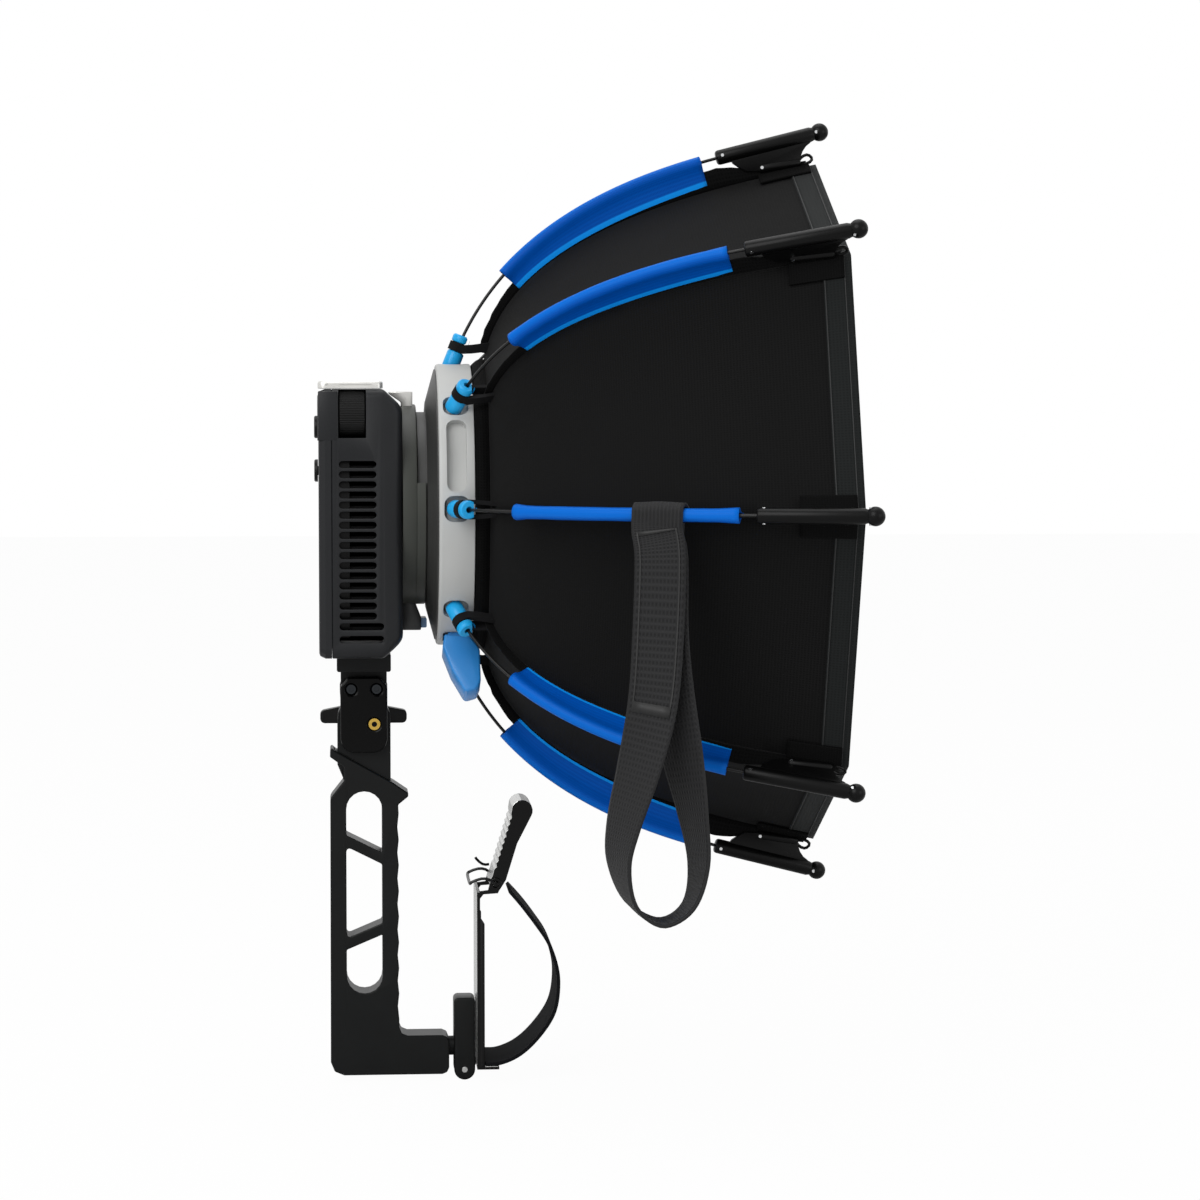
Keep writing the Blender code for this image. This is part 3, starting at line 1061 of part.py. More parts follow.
def clamp_lever(pivot):
    """Tightening lever with a round end and a serrated thumb face, on its cross pin."""
    foot = Vector((LATCH_X, LATCH_Z))
    direction = Vector((math.cos(math.radians(71.5)), math.sin(math.radians(71.5))))
    left = Vector((-direction.y, direction.x))
    outline = []
    for tooth in range(LATCH_TEETH * 2 + 1):
        share = tooth / (LATCH_TEETH * 2)
        depth = 0.0007 if tooth % 2 else 0.0
        along = LATCH_LENGTH - 0.003 - share * (LATCH_LENGTH - 0.009)
        outline.append(foot + direction * along + left * (0.0034 - 0.0006 * share - depth))
    outline += [foot + direction * 0.0030 + left * 0.0026, foot + left * 0.0030 - direction * 0.0004,
                foot - direction * 0.0030 + left * 0.0004, foot - direction * 0.0020 - left * 0.0026,
                foot + direction * 0.0030 - left * 0.0038, foot + direction * 0.0200 - left * 0.0034,
                foot + direction * 0.0270 - left * 0.0045]
    knob = foot + direction * LATCH_LENGTH - left * 0.0008
    start = math.degrees(math.atan2(direction.y, direction.x)) - 105.0
    outline += arc(knob.x, knob.y, 0.0048, start, start + 190.0, 9)
    lever = solid("clamp_lever", side_prism(outline, -LATCH_HALF_WIDTH, LATCH_HALF_WIDTH), BLACK_PLASTIC,
                  pivot, (LATCH_X, 0.0, LATCH_Z))
    reach = LATCH_HALF_WIDTH + RUNNING + EAR_THICKNESS + 0.0004
    pin = ((0.0, LATCH_PIN_RADIUS), (2.0 * reach, LATCH_PIN_RADIUS))
    join(lever, turned((LATCH_X, -reach, LATCH_Z), (0, 1, 0), pin, 12))


def wire_bail(pivot):
    """Sprung wire bail behind the lever's foot, ending beside its pin."""
    side = LATCH_HALF_WIDTH + RUNNING + EAR_THICKNESS + 0.0004 + CLEARANCE + BAIL_RADIUS
    points = [(LATCH_X - 0.0002, -side, LATCH_Z), (0.0550, -side, 0.0134), (0.0515, -side, 0.0138),
              (0.0474, -side, 0.0124), (0.0466, -side + 0.0018, 0.0114), (0.0466, 0.0, 0.0110)]
    points += [(x, -y, z) for x, y, z in points[-2::-1]]
    path = smooth_path([Vector(point) for point in points], 2)
    rings = []
    side_way = Vector((0.0, 0.0, 1.0))
    for index, here in enumerate(path):
        along = (path[min(index + 1, len(path) - 1)] - path[max(index - 1, 0)]).normalized()
        across = along.cross(side_way).normalized()
        up = across.cross(along)
        rings.append([here + (across * math.cos(a) + up * math.sin(a)) * BAIL_RADIUS
                      for a in (math.tau * i / 6 for i in range(6))])
    solid("wire_bail", loft(rings), BLACK_WIRE, pivot, (LATCH_X, 0.0, LATCH_Z), 61.0)


# ---------------------------------------------------------------- assembly
for leftover in list(bpy.data.objects):
    bpy.data.objects.remove(leftover)

BLACK_METAL = material("black_anodised_metal", (0.010, 0.011, 0.011), 0.38, 0.6)
BODY_PAINT = material("charcoal_housing", (0.027, 0.028, 0.030), 0.50)
SILVER = material("silver_plate", (0.68, 0.67, 0.65), 0.35, 0.5)
GREY_METAL = material("grey_mount_metal", (0.28, 0.29, 0.28), 0.42, 0.4)
HUB_GREY = material("light_grey_hub", (0.48, 0.48, 0.47), 0.45, 0.2)
BLUE_PLASTIC = material("blue_moulding", (0.03, 0.36, 0.86), 0.40)
BLUE_GREY = material("blue_grey_tab", (0.12, 0.18, 0.30), 0.40)
BLUE_FABRIC = material("blue_sleeve_fabric", (0.005, 0.11, 0.60), 0.70)
BLACK_FABRIC = material("black_dome_fabric", (0.010, 0.010, 0.010), 0.85)
WHITE_FABRIC = material("white_diffuser_fabric", (0.85, 0.85, 0.84), 0.90)
WEBBING = material("black_webbing", (0.012, 0.012, 0.013), 0.80)
BLACK_WIRE = material("black_spring_wire", (0.02, 0.02, 0.02), 0.35, 0.7)
BLACK_PLASTIC = material("black_moulding", (0.012, 0.012, 0.012), 0.42)
RUBBER = material("black_rubber", (0.016, 0.016, 0.016), 0.70)
STEEL = material("steel_screw", (0.60, 0.60, 0.60), 0.30, 1.0)
BRASS = material("brass_thread", (0.72, 0.50, 0.16), 0.28, 1.0)
ALUMINIUM = material("bare_aluminium", (0.70, 0.71, 0.72), 0.38, 1.0)
LED_YELLOW = material("led_phosphor", (0.80, 0.62, 0.10), 0.45)
CUTTER = material("helper", (1.0, 0.0, 1.0), 1.0)

tilt_axis = pivot_at("tilt_axis", (0.0, 0.0, TILT_Z))
optical_axis = pivot_at("optical_axis", (0.0, 0.0, AXIS_Z), tilt_axis)
spindle_axis = pivot_at("spindle_axis", (0.0, 0.0, SPINDLE_Z))
plate_axis = pivot_at("plate_axis", (PIN_X, 0.0, PIN_Z), spindle_axis)
latch_axis = pivot_at("latch_axis", (LATCH_X, 0.0, LATCH_Z), plate_axis)

grip_frame()
wing_knob()
tilt_head(tilt_axis)
front_shell(tilt_axis)
rear_cover(tilt_axis)
lamp_details(tilt_axis)
mount_ring(tilt_axis)
lock_tab(tilt_axis)
hub_ring(optical_axis)
release_paddle(optical_axis)
peg(optical_axis)
rod(optical_axis)
sleeve(optical_axis)
rim_lever(optical_axis)
dome(optical_axis)
pull_strap(optical_axis)
clamp_block(spindle_axis)
clamp_plate(plate_axis)
clamp_belt(plate_axis)
clamp_lever(latch_axis)
wire_bail(latch_axis)
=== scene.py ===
"""Hand-held LED video light with an eight-ribbed dome softbox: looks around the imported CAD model.

Metres, +Z up, lamp shining along +X, near side at -Y. One section for each piece or group of like pieces.
"""
import math

import bmesh
import bpy
from mathutils import Matrix, Vector, noise


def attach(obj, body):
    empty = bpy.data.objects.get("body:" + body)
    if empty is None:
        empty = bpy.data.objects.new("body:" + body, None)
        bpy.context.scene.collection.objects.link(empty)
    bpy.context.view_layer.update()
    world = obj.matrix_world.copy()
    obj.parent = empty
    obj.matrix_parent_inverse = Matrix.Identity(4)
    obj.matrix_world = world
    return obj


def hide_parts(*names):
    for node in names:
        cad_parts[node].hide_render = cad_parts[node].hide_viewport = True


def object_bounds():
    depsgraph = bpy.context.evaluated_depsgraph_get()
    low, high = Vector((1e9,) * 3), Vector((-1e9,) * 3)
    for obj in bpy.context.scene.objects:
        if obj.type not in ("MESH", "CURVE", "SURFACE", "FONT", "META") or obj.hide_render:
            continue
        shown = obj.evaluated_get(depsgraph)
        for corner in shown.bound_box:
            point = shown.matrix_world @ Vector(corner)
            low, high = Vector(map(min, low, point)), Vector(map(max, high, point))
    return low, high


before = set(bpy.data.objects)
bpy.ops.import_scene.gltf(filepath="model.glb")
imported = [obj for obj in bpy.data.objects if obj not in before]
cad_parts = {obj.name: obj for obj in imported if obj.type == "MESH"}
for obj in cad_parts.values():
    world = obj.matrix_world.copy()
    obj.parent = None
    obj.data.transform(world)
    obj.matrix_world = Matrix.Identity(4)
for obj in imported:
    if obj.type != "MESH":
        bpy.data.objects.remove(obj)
cad_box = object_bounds()

# ---------------------------------------------------------------- studio
# White packshot room: a pale floor, a large soft light above the camera, a strong one overhead, a
# weak one at the right, and a white surround that the camera, glossy surfaces and glass see.
MIDDLE_OF_VIEW = Vector((0.1056, 0.0, 0.1364))
VIEW_TURN = math.radians(-4.4)
VIEW_RISE = math.radians(3.4)
VIEW_DISTANCE = 1.533
FLOOR_Z = cad_box[0].z


def tint(code):
    """Linear colour of an sRGB hex value."""
    parts = [int(code[i:i + 2], 16) / 255.0 for i in (1, 3, 5)]
    return [p / 12.92 if p <= 0.04045 else ((p + 0.055) / 1.055) ** 2.4 for p in parts] + [1.0]


def add(tree, kind, settings=(), inputs=()):
    """Adds one shader node; an input takes a value or another node's output."""
    node = tree.nodes.new("ShaderNode" + kind)
    for key, value in dict(settings).items():
        setattr(node, key, value)
    for key, value in dict(inputs).items():
        if isinstance(value, bpy.types.NodeSocket):
            tree.links.new(value, node.inputs[key])
        else:
            node.inputs[key].default_value = value
    return node


def soft_light(name, place, width, power):
    """Square studio light that faces the middle of the view."""
    data = bpy.data.lights.new(name, "AREA")
    data.size = width
    data.energy = power
    made = bpy.data.objects.new(name, data)
    made.location = place
    made.rotation_euler = (MIDDLE_OF_VIEW - Vector(place)).to_track_quat("-Z", "Y").to_euler()
    bpy.context.scene.collection.objects.link(made)


back = Vector((math.sin(VIEW_TURN) * math.cos(VIEW_RISE), -math.cos(VIEW_TURN) * math.cos(VIEW_RISE),
               math.sin(VIEW_RISE)))
camera = bpy.data.objects.new("camera", bpy.data.cameras.new("camera"))
camera.data.lens = 102.84
camera.data.sensor_width = 36.0
camera.location = MIDDLE_OF_VIEW + back * VIEW_DISTANCE
camera.rotation_euler = (-back).to_track_quat("-Z", "Y").to_euler()
bpy.context.scene.collection.objects.link(camera)
bpy.context.scene.camera = camera
bpy.context.scene.view_settings.view_transform = "Standard"

soft_light("key_light", (-0.95, -1.55, 1.25), 1.4, 26.0)
soft_light("fill_light", (1.6, -1.3, 0.4), 1.0, 5.0)
soft_light("top_light", (0.0, 0.2, 1.8), 1.3, 11.0)

surround = bpy.data.worlds.new("white surround")
surround.use_nodes = True
bpy.context.scene.world = surround
tree = surround.node_tree
ray = add(tree, "LightPath")
seen = add(tree, "Math", {"operation": "MAXIMUM"},
           {0: ray.outputs["Is Camera Ray"], 1: ray.outputs["Is Transmission Ray"]})
seen = add(tree, "Math", {"operation": "MAXIMUM"}, {0: seen.outputs[0], 1: ray.outputs["Is Glossy Ray"]})
level = add(tree, "MapRange", {}, {"Value": seen.outputs[0], "To Min": 0.32, "To Max": 1.0})
tree.links.new(level.outputs[0], tree.nodes["Background"].inputs["Strength"])
tree.nodes["Background"].inputs["Color"].default_value = (1.0, 1.0, 1.0, 1.0)

pale_floor = bpy.data.materials.new("matt white floor")
pale_floor.use_nodes = True
tree = pale_floor.node_tree
shader = tree.nodes["Principled BSDF"]
shader.inputs["Base Color"].default_value = tint("#F4F4F4")
shader.inputs["Roughness"].default_value = 0.9
shader.inputs["Specular IOR Level"].default_value = 0.0
glow = add(tree, "Emission", {}, {"Strength": 1.0})
ray = add(tree, "LightPath")
share = add(tree, "Math", {"operation": "MULTIPLY"}, {0: ray.outputs["Is Camera Ray"], 1: 0.97})
both = add(tree, "MixShader", {}, {0: share.outputs[0], 1: shader.outputs[0], 2: glow.outputs[0]})
tree.links.new(both.outputs[0], tree.nodes["Material Output"].inputs["Surface"])
ground = bmesh.new()
bmesh.ops.create_grid(ground, x_segments=1, y_segments=1, size=6.0,
                      matrix=Matrix.Translation((0.0, 0.0, FLOOR_Z)))
floor_data = bpy.data.meshes.new("floor")
ground.to_mesh(floor_data)
ground.free()
floor_data.materials.append(pale_floor)
floor = bpy.data.objects.new("floor", floor_data)
bpy.context.scene.collection.objects.link(floor)

# ---------------------------------------------------------------- grip
# One bar machined from aluminium, bead blasted and black anodised: even, satin, a little lighter
# where the blasting rounded its edges.
AXIS_Z = 0.1793


def finish(name, dark, light, roughness, metallic=0.0, grain=0.0006, relief=0.00002, patch=0.02, **constants):
    """Principled surface of two close colours in soft patches, with a fine grain of that real size."""
    material = bpy.data.materials.new(name)
    material.use_nodes = True
    tree = material.node_tree
    shader = tree.nodes["Principled BSDF"]
    shader.inputs["Metallic"].default_value = metallic
    for key, value in constants.items():
        shader.inputs[key.replace("_", " ").title().replace("Ior", "IOR")].default_value = value
    place = add(tree, "TexCoord").outputs["Object"]
    cloud = add(tree, "TexNoise", {}, {"Vector": place, "Scale": 1.0 / patch, "Detail": 4.0})
    colour = add(tree, "Mix", {"data_type": "RGBA"}, {0: cloud.outputs[0], 6: tint(dark), 7: tint(light)})
    tree.links.new(colour.outputs[2], shader.inputs["Base Color"])
    speck = add(tree, "TexNoise", {}, {"Vector": place, "Scale": 1.0 / grain, "Detail": 2.0})
    gloss = add(tree, "MapRange", {}, {"Value": cloud.outputs[0], "To Min": roughness - 0.05,
                                       "To Max": roughness + 0.05})
    tree.links.new(gloss.outputs[0], shader.inputs["Roughness"])
    bump = add(tree, "Bump", {}, {"Height": speck.outputs[0], "Strength": 0.5, "Distance": relief})
    tree.links.new(bump.outputs[0], shader.inputs["Normal"])
    return material


def coat(material, *nodes):
    """Gives CAD nodes a finish."""
    for node in nodes:
        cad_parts[node].data.materials.clear()
        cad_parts[node].data.materials.append(material)


def piece(name, mesh, material, body, stands_for=(), sharp=35.0):
    """Makes a finished mesh a piece that rides on a CAD body and stands for CAD nodes."""
    data = bpy.data.meshes.new(name)
    mesh.to_mesh(data)
    mesh.free()
    data.materials.append(material)
    data.shade_smooth()
    data.set_sharp_from_angle(angle=math.radians(sharp))
    made = bpy.data.objects.new(name, data)
    bpy.context.scene.collection.objects.link(made)
    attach(made, body)
    if stands_for:
        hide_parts(*stands_for)
    return made


def lathe(profile, foot, axis, steps=32, sweep=math.tau):
    """Spins a profile of (along, radius) pairs round an axis through the foot."""
    mesh = bmesh.new()
    points = [mesh.verts.new((radius, 0.0, along)) for along, radius in profile]
    edges = [mesh.edges.new(pair) for pair in zip(points, points[1:])]
    bmesh.ops.spin(mesh, geom=points + edges, cent=(0, 0, 0), axis=(0, 0, 1), dvec=(0, 0, 0),
                   angle=sweep, steps=steps, use_merge=sweep == math.tau, use_duplicate=False)
    bmesh.ops.remove_doubles(mesh, verts=mesh.verts, dist=0.000005)
    bmesh.ops.holes_fill(mesh, edges=[e for e in mesh.edges if e.is_boundary], sides=0)
    bmesh.ops.recalc_face_normals(mesh, faces=mesh.faces)
    turn = Vector(axis).to_track_quat("Z", "Y").to_matrix().to_4x4()
    bmesh.ops.transform(mesh, matrix=Matrix.Translation(foot) @ turn, verts=mesh.verts)
    return mesh


def carved(mesh, cutter):
    """Cuts one closed mesh out of another."""
    pair = []
    for part in (mesh, cutter):
        data = bpy.data.meshes.new("carving")
        part.to_mesh(data)
        part.free()
        made = bpy.data.objects.new("carving", data)
        bpy.context.scene.collection.objects.link(made)
        pair.append(made)
    work = pair[0].modifiers.new("cut", "BOOLEAN")
    work.object = pair[1]
    work.operation = "DIFFERENCE"
    work.solver = "EXACT"
    result = bmesh.new()
    result.from_object(pair[0], bpy.context.evaluated_depsgraph_get())
    for made in pair:
        data = made.data
        bpy.data.objects.remove(made)
        bpy.data.meshes.remove(data)
    return result


def broken(mesh, width, steps=2, corner=28.0):
    """Rounds every edge sharper than the corner by a small width."""
    sharp = [e for e in mesh.edges if e.is_manifold and e.calc_face_angle(0.0) > math.radians(corner)]
    bmesh.ops.bevel(mesh, geom=sharp, offset=width, offset_type="OFFSET", affect="EDGES", segments=steps,
                    profile=0.5, material=-1, clamp_overlap=False)
    return mesh


def slab(outline, low, high, edge=0.0004, steps=2):
    """Outline in (x, z), closed, extruded along Y, its edges rounded."""
    mesh = bmesh.new()
    face = mesh.faces.new([mesh.verts.new((x, low, z)) for x, z in outline])
    pushed = bmesh.ops.extrude_face_region(mesh, geom=[face])["geom"]
    bmesh.ops.translate(mesh, vec=(0.0, high - low, 0.0),
                        verts=[part for part in pushed if isinstance(part, bmesh.types.BMVert)])
    bmesh.ops.recalc_face_normals(mesh, faces=mesh.faces)
    return broken(mesh, edge, steps) if edge else mesh


def joined(first, *others):
    """Puts closed meshes into one."""
    for other in others:
        data = bpy.data.meshes.new("joining")
        other.to_mesh(data)
        other.free()
        first.from_mesh(data)
        bpy.data.meshes.remove(data)
    return first


def dressed(node, width, material, body):
    """The CAD node's own shape, merged and with its hard edges rounded."""
    mesh = bmesh.new()
    mesh.from_mesh(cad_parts[node].data)
    bmesh.ops.remove_doubles(mesh, verts=mesh.verts, dist=0.000002)
    bmesh.ops.dissolve_limit(mesh, angle_limit=math.radians(0.8), verts=mesh.verts, edges=mesh.edges)
    return piece(f"{node}_finished", broken(mesh, width), material, body, (node,), 21.0)


# blasted and anodised: grain of about 0.3 mm, drawn at 0.6 mm so that it shows
black_anodised = finish("bead-blasted black anodised aluminium", "#0E0F0F", "#141515", 0.38,
                        specular_ior_level=0.14)
dressed("grip_frame", 0.0005, black_anodised, "grip")

# ---------------------------------------------------------------- tilt head
# Black anodised bracket and cheek, screwed together by two steel socket screws; a brass thread
# insert; and a moulded wing knob on the far side.
black_moulded = finish("black moulded nylon", "#070707", "#0C0C0C", 0.34, grain=0.0009, specular_ior_level=0.15)
gloss_black = finish("polished black anodised aluminium", "#040404", "#070707", 0.22, specular_ior_level=0.1)
black_screw = finish("black oxide screw steel", "#26282A", "#34373A", 0.22, 0.9, relief=0.000005)
turned_brass = finish("turned brass", "#B9903A", "#D9BC62", 0.28, 1.0, relief=0.000005)
dressed("tilt_bracket", 0.0004, black_anodised, "lamp")
dressed("tilt_cheek", 0.0008, gloss_black, "lamp")
dressed("wing_knob", 0.0003, black_moulded, "wing")
coat(black_screw, "cheek_screw_front", "cheek_screw_rear")
coat(turned_brass, "brass_insert")
insert = [v.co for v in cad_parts["brass_insert"].data.vertices]
insert_face = Vector([(min(p[i] for p in insert) + max(p[i] for p in insert)) / 2.0 for i in range(3)])
insert_face.y = min(p.y for p in insert)
# painted shade: a thin black disc on the insert's near face stands for the dark inside of its threaded hole
painted_bore_shade = lathe([(0.0, 0.0), (0.0, 0.0012), (0.00012, 0.0012), (0.00012, 0.0)], insert_face, (0, -1, 0), 24)
piece("insert_painted_bore_shade", painted_bore_shade, gloss_black, "lamp")

# ---------------------------------------------------------------- lamp body
# Painted magnesium shell, slotted on both sides, its front edges sloped; a rear cover with a raised
# corner block; a bare light alloy plate on top; a rubber-tyred dial and two flat rear knobs.
BODY_SPLIT_X = -0.0138
BODY_FRONT_X = 0.0168
BODY_BOTTOM_Z = 0.1140
BODY_TOP_Z = AXIS_Z + 0.0512
BODY_HALF_DEPTH = 0.0460
BODY_WALL = 0.0022
SLOT_PITCH = 0.00436
SLOT_SIZE = 0.0030
SLOT_COUNT = 16
FIRST_SLOT_Z = BODY_TOP_Z - 0.0325
SLOT_ENDS = (-0.0106, 0.0055)
LONG_SLOTS = (BODY_BOTTOM_Z + 0.0140, BODY_BOTTOM_Z + 0.0085)
LONG_SLOT_END = 0.0086
DIAL_RADIUS = 0.0102
DIAL_ENDS = (-0.0102, 0.0005)
DIAL_MIDDLE = Vector((0.0, -BODY_HALF_DEPTH + DIAL_RADIUS, BODY_TOP_Z - DIAL_RADIUS - 0.0001))
KNOB_DROPS = {"upper": 0.0165, "lower": 0.0355}
body_paint = finish("charcoal powder paint", "#17181A", "#1E1F21", 0.42, grain=0.0007, relief=0.00004,
                    specular_ior_level=0.22)
light_alloy = finish("satin light alloy", "#CFCECA", "#DEDDD9", 0.34, 0.55)
black_fins = finish("blackened aluminium fins", "#050506", "#0B0B0C", 0.5, specular_ior_level=0.1)
dial_rubber = finish("black rubber tyre", "#070707", "#0C0C0C", 0.6, specular_ior_level=0.2)
coat(body_paint, "rear_cover")
coat(black_fins, "heat_sink")
coat(black_moulded, "fan_rotor")


def body_ring(x, inset_y, inset_z, corner=0.0040, steps=8):
    """Rounded rectangle across the lamp body at one x."""
    wide = BODY_HALF_DEPTH - inset_y - corner
    low, high = BODY_BOTTOM_Z + inset_z + corner, BODY_TOP_Z - inset_z - corner
    ring = []
    for y, z, start in ((wide, low, -90.0), (wide, high, 0.0), (-wide, high, 90.0), (-wide, low, 180.0)):
        angles = [math.radians(start + 90.0 * i / steps) for i in range(steps + 1)]
        ring += [Vector((x, y + corner * math.cos(a), z + corner * math.sin(a))) for a in angles]
    return ring


def lofted(rings):
    """Closed skin through rings of equal count, its ends filled."""
    mesh = bmesh.new()
    loops = []
    for ring in rings:
        points = [mesh.verts.new(point) for point in ring]
        loops.append([mesh.edges.new(pair) for pair in zip(points, points[1:] + points[:1])])
    for first, second in zip(loops, loops[1:]):
        bmesh.ops.bridge_loops(mesh, edges=first + second)
    bmesh.ops.holes_fill(mesh, edges=[e for e in mesh.edges if e.is_boundary], sides=0)
    bmesh.ops.recalc_face_normals(mesh, faces=mesh.faces)
    return mesh


def stadium(low_x, high_x, z, radius, steps=8):
    """Slot outline with round ends, in (x, z)."""
    outline = []
    for x, start in ((high_x - radius, -90.0), (low_x + radius, 90.0)):
        angles = [math.radians(start + 180.0 * i / steps) for i in range(steps + 1)]
        outline += [(x + radius * math.cos(a), z + radius * math.sin(a)) for a in angles]
    return outline


inside = BODY_WALL
shell = lofted([body_ring(BODY_SPLIT_X, 0.0004, 0.0004), body_ring(BODY_SPLIT_X + 0.0004, 0.0, 0.0),
                body_ring(0.0076, 0.0, 0.0), body_ring(0.0086, 0.0, 0.0003), body_ring(0.0096, 0.0001, 0.0010),
                body_ring(0.0134, 0.0003, 0.0045), body_ring(0.0150, 0.0009, 0.0061),
                body_ring(0.0160, 0.0018, 0.0074), body_ring(0.0166, 0.0028, 0.0086),
                body_ring(BODY_FRONT_X, 0.0036, 0.0098)])
hollow = lofted([body_ring(BODY_SPLIT_X - 0.001, inside, inside, 0.0018), body_ring(0.0088, inside, inside, 0.0018),
                 body_ring(BODY_FRONT_X - inside, inside + 0.0028, inside + 0.0078, 0.0010)])
shell = carved(shell, hollow)
past = BODY_HALF_DEPTH + 0.002
slots = [slab(stadium(*SLOT_ENDS, FIRST_SLOT_Z - SLOT_PITCH * i, SLOT_SIZE / 2.0), -past, past, 0.0)
         for i in range(SLOT_COUNT)]
slots += [slab(stadium(SLOT_ENDS[0], LONG_SLOT_END, z, SLOT_SIZE / 2.0), -past, past, 0.0) for z in LONG_SLOTS]
shell = carved(shell, joined(*slots))
shell = carved(shell, lathe([(-0.006, 0.0), (-0.006, 0.031), (0.006, 0.031), (0.006, 0.0)],
                            Vector((BODY_FRONT_X, 0.0, AXIS_Z)), (1, 0, 0), 64))
gap = 0.0006
pocket = DIAL_RADIUS + gap
notch = slab([(DIAL_ENDS[0] - gap, DIAL_MIDDLE.z - pocket), (DIAL_ENDS[1] + gap, DIAL_MIDDLE.z - pocket),
              (DIAL_ENDS[1] + gap, BODY_TOP_Z + 0.002), (DIAL_ENDS[0] - gap, BODY_TOP_Z + 0.002)],
             -past, DIAL_MIDDLE.y, 0.0)
shell = carved(shell, notch)
shell = carved(shell, lathe([(DIAL_ENDS[0] - gap, 0.0), (DIAL_ENDS[0] - gap, pocket), (DIAL_ENDS[1] + gap, pocket),
                             (DIAL_ENDS[1] + gap, 0.0)], DIAL_MIDDLE, (1, 0, 0), 64))
rims = [e for e in shell.edges if e.is_manifold and e.calc_face_angle(0.0) > 1.0
        and all(abs(v.co.y) > BODY_HALF_DEPTH - 0.0002 and v.co.x < 0.0090 for v in e.verts)
        and any(v.co.x > BODY_SPLIT_X + 0.001 for v in e.verts)]
bmesh.ops.bevel(shell, geom=rims, offset=0.00022, offset_type="OFFSET", affect="EDGES", segments=2,
                profile=0.5, material=-1, clamp_overlap=False)
piece("shell", shell, body_paint, "lamp", ("front_shell",))

block = slab([(-0.0195, BODY_TOP_Z - 0.0222), (DIAL_ENDS[0] - 0.0011, BODY_TOP_Z - 0.0222),
              (DIAL_ENDS[0] - 0.0011, BODY_TOP_Z - 0.0009), (-0.0195, BODY_TOP_Z - 0.0009)],
             -BODY_HALF_DEPTH - 0.0002, -0.0300, 0.0005)
piece("corner_block", block, body_paint, "lamp")

plate = bmesh.new()
bmesh.ops.create_cube(plate, size=1.0, matrix=Matrix.Translation((-0.0056, 0.0, BODY_TOP_Z + 0.0018))
                      @ Matrix.Diagonal((0.0280, 0.0860, 0.0030, 1.0)))
upright = [e for e in plate.edges if abs((e.verts[0].co - e.verts[1].co).z) > 0.002]
bmesh.ops.bevel(plate, geom=upright, offset=0.0030, offset_type="OFFSET", affect="EDGES", segments=8,
                profile=0.5, material=-1)
brim = [e for e in plate.edges if all(v.co.z > BODY_TOP_Z + 0.003 for v in e.verts)]
bmesh.ops.bevel(plate, geom=brim, offset=0.0008, offset_type="OFFSET", affect="EDGES", segments=3,
                profile=0.5, material=-1)
for low_x, high_x, half in ((-0.0106, 0.0038, 0.0004), (-0.0162, -0.0150, 0.0006)):
    plate = carved(plate, slab(stadium(low_x, high_x, BODY_TOP_Z + 0.0017, half), -0.0450, -0.0424, 0.0))
piece("top_cover", plate, light_alloy, "lamp", ("top_plate",))

ridges = [(DIAL_RADIUS - 0.0002 * (i % 4 > 1), math.tau * i / 240) for i in range(240)]
tyre = slab([(reach * math.cos(a), reach * math.sin(a)) for reach, a in ridges], *DIAL_ENDS, 0.0)
bmesh.ops.transform(tyre, matrix=Matrix.Translation(DIAL_MIDDLE) @ Matrix.Rotation(-math.pi / 2.0, 4, "Z"),
                    verts=tyre.verts)
piece("dial_tyre", tyre, dial_rubber, "dial", ("control_dial",))

for name, drop in KNOB_DROPS.items():
    knob = lathe([(0.0, 0.0), (0.0, 0.0043), (0.0002, 0.0047), (0.0006, 0.0049), (0.0016, 0.0049), (0.0016, 0.0020),
                  (0.0050, 0.0020), (0.0050, 0.0)], (-0.0213, -0.0240, BODY_TOP_Z - drop), (1, 0, 0), 48)
    piece(f"{name}_knob_cap", knob, black_moulded, f"{name}_knob", (f"rear_knob_{name}",))

for side, reach in ((-1.0, -0.0060), (1.0, 0.0110)):
    edges = sorted((side * 0.0325, side * 0.0425))
    shroud = slab([(-0.0134, 0.1230), (reach, 0.1230), (reach, 0.2050), (-0.0134, 0.2050)], *edges, 0.0005)
    piece("fan_shroud_near" if side < 0 else "fan_shroud_far", shroud, black_moulded, "lamp")
phosphor = finish("yellow phosphor board", "#D8C24A", "#E6D263", 0.6)
coat(phosphor, "led_board")

# ---------------------------------------------------------------- lamp mount
# Cast bayonet ring in satin grey with a black lock housing and a bluish sprung tab.
MOUNT_RADIUS = 0.0445
MOUNT_REAR_X = 0.0170
MOUNT_FRONT_X = 0.0233
LIP_FRONT_X = 0.0272
LIP_RADII = (0.0415, MOUNT_RADIUS - 0.0003)
BOSS_DEPTH = 0.0150
grey_cast = finish("satin grey cast alloy", "#3A3C39", "#444641", 0.42, 0.1,
                   specular_ior_level=0.25)
lock_black = finish("black lock moulding", "#0C0D0E", "#141516", 0.4)
tab_plastic = finish("blue-grey moulded tab", "#5C7FA6", "#6E93BC", 0.4)
coat(tab_plastic, "lock_tab")
on_axis = Vector((0.0, 0.0, AXIS_Z))
ring_profile = [(MOUNT_REAR_X, 0.0340), (MOUNT_REAR_X, MOUNT_RADIUS), (MOUNT_FRONT_X - 0.0006, MOUNT_RADIUS),
                (MOUNT_FRONT_X - 0.0002, MOUNT_RADIUS - 0.0002), (MOUNT_FRONT_X, MOUNT_RADIUS - 0.0006),
                (MOUNT_FRONT_X, 0.0340), (MOUNT_REAR_X, 0.0340)]
bayonet = lathe(ring_profile, on_axis, (1, 0, 0), 240)
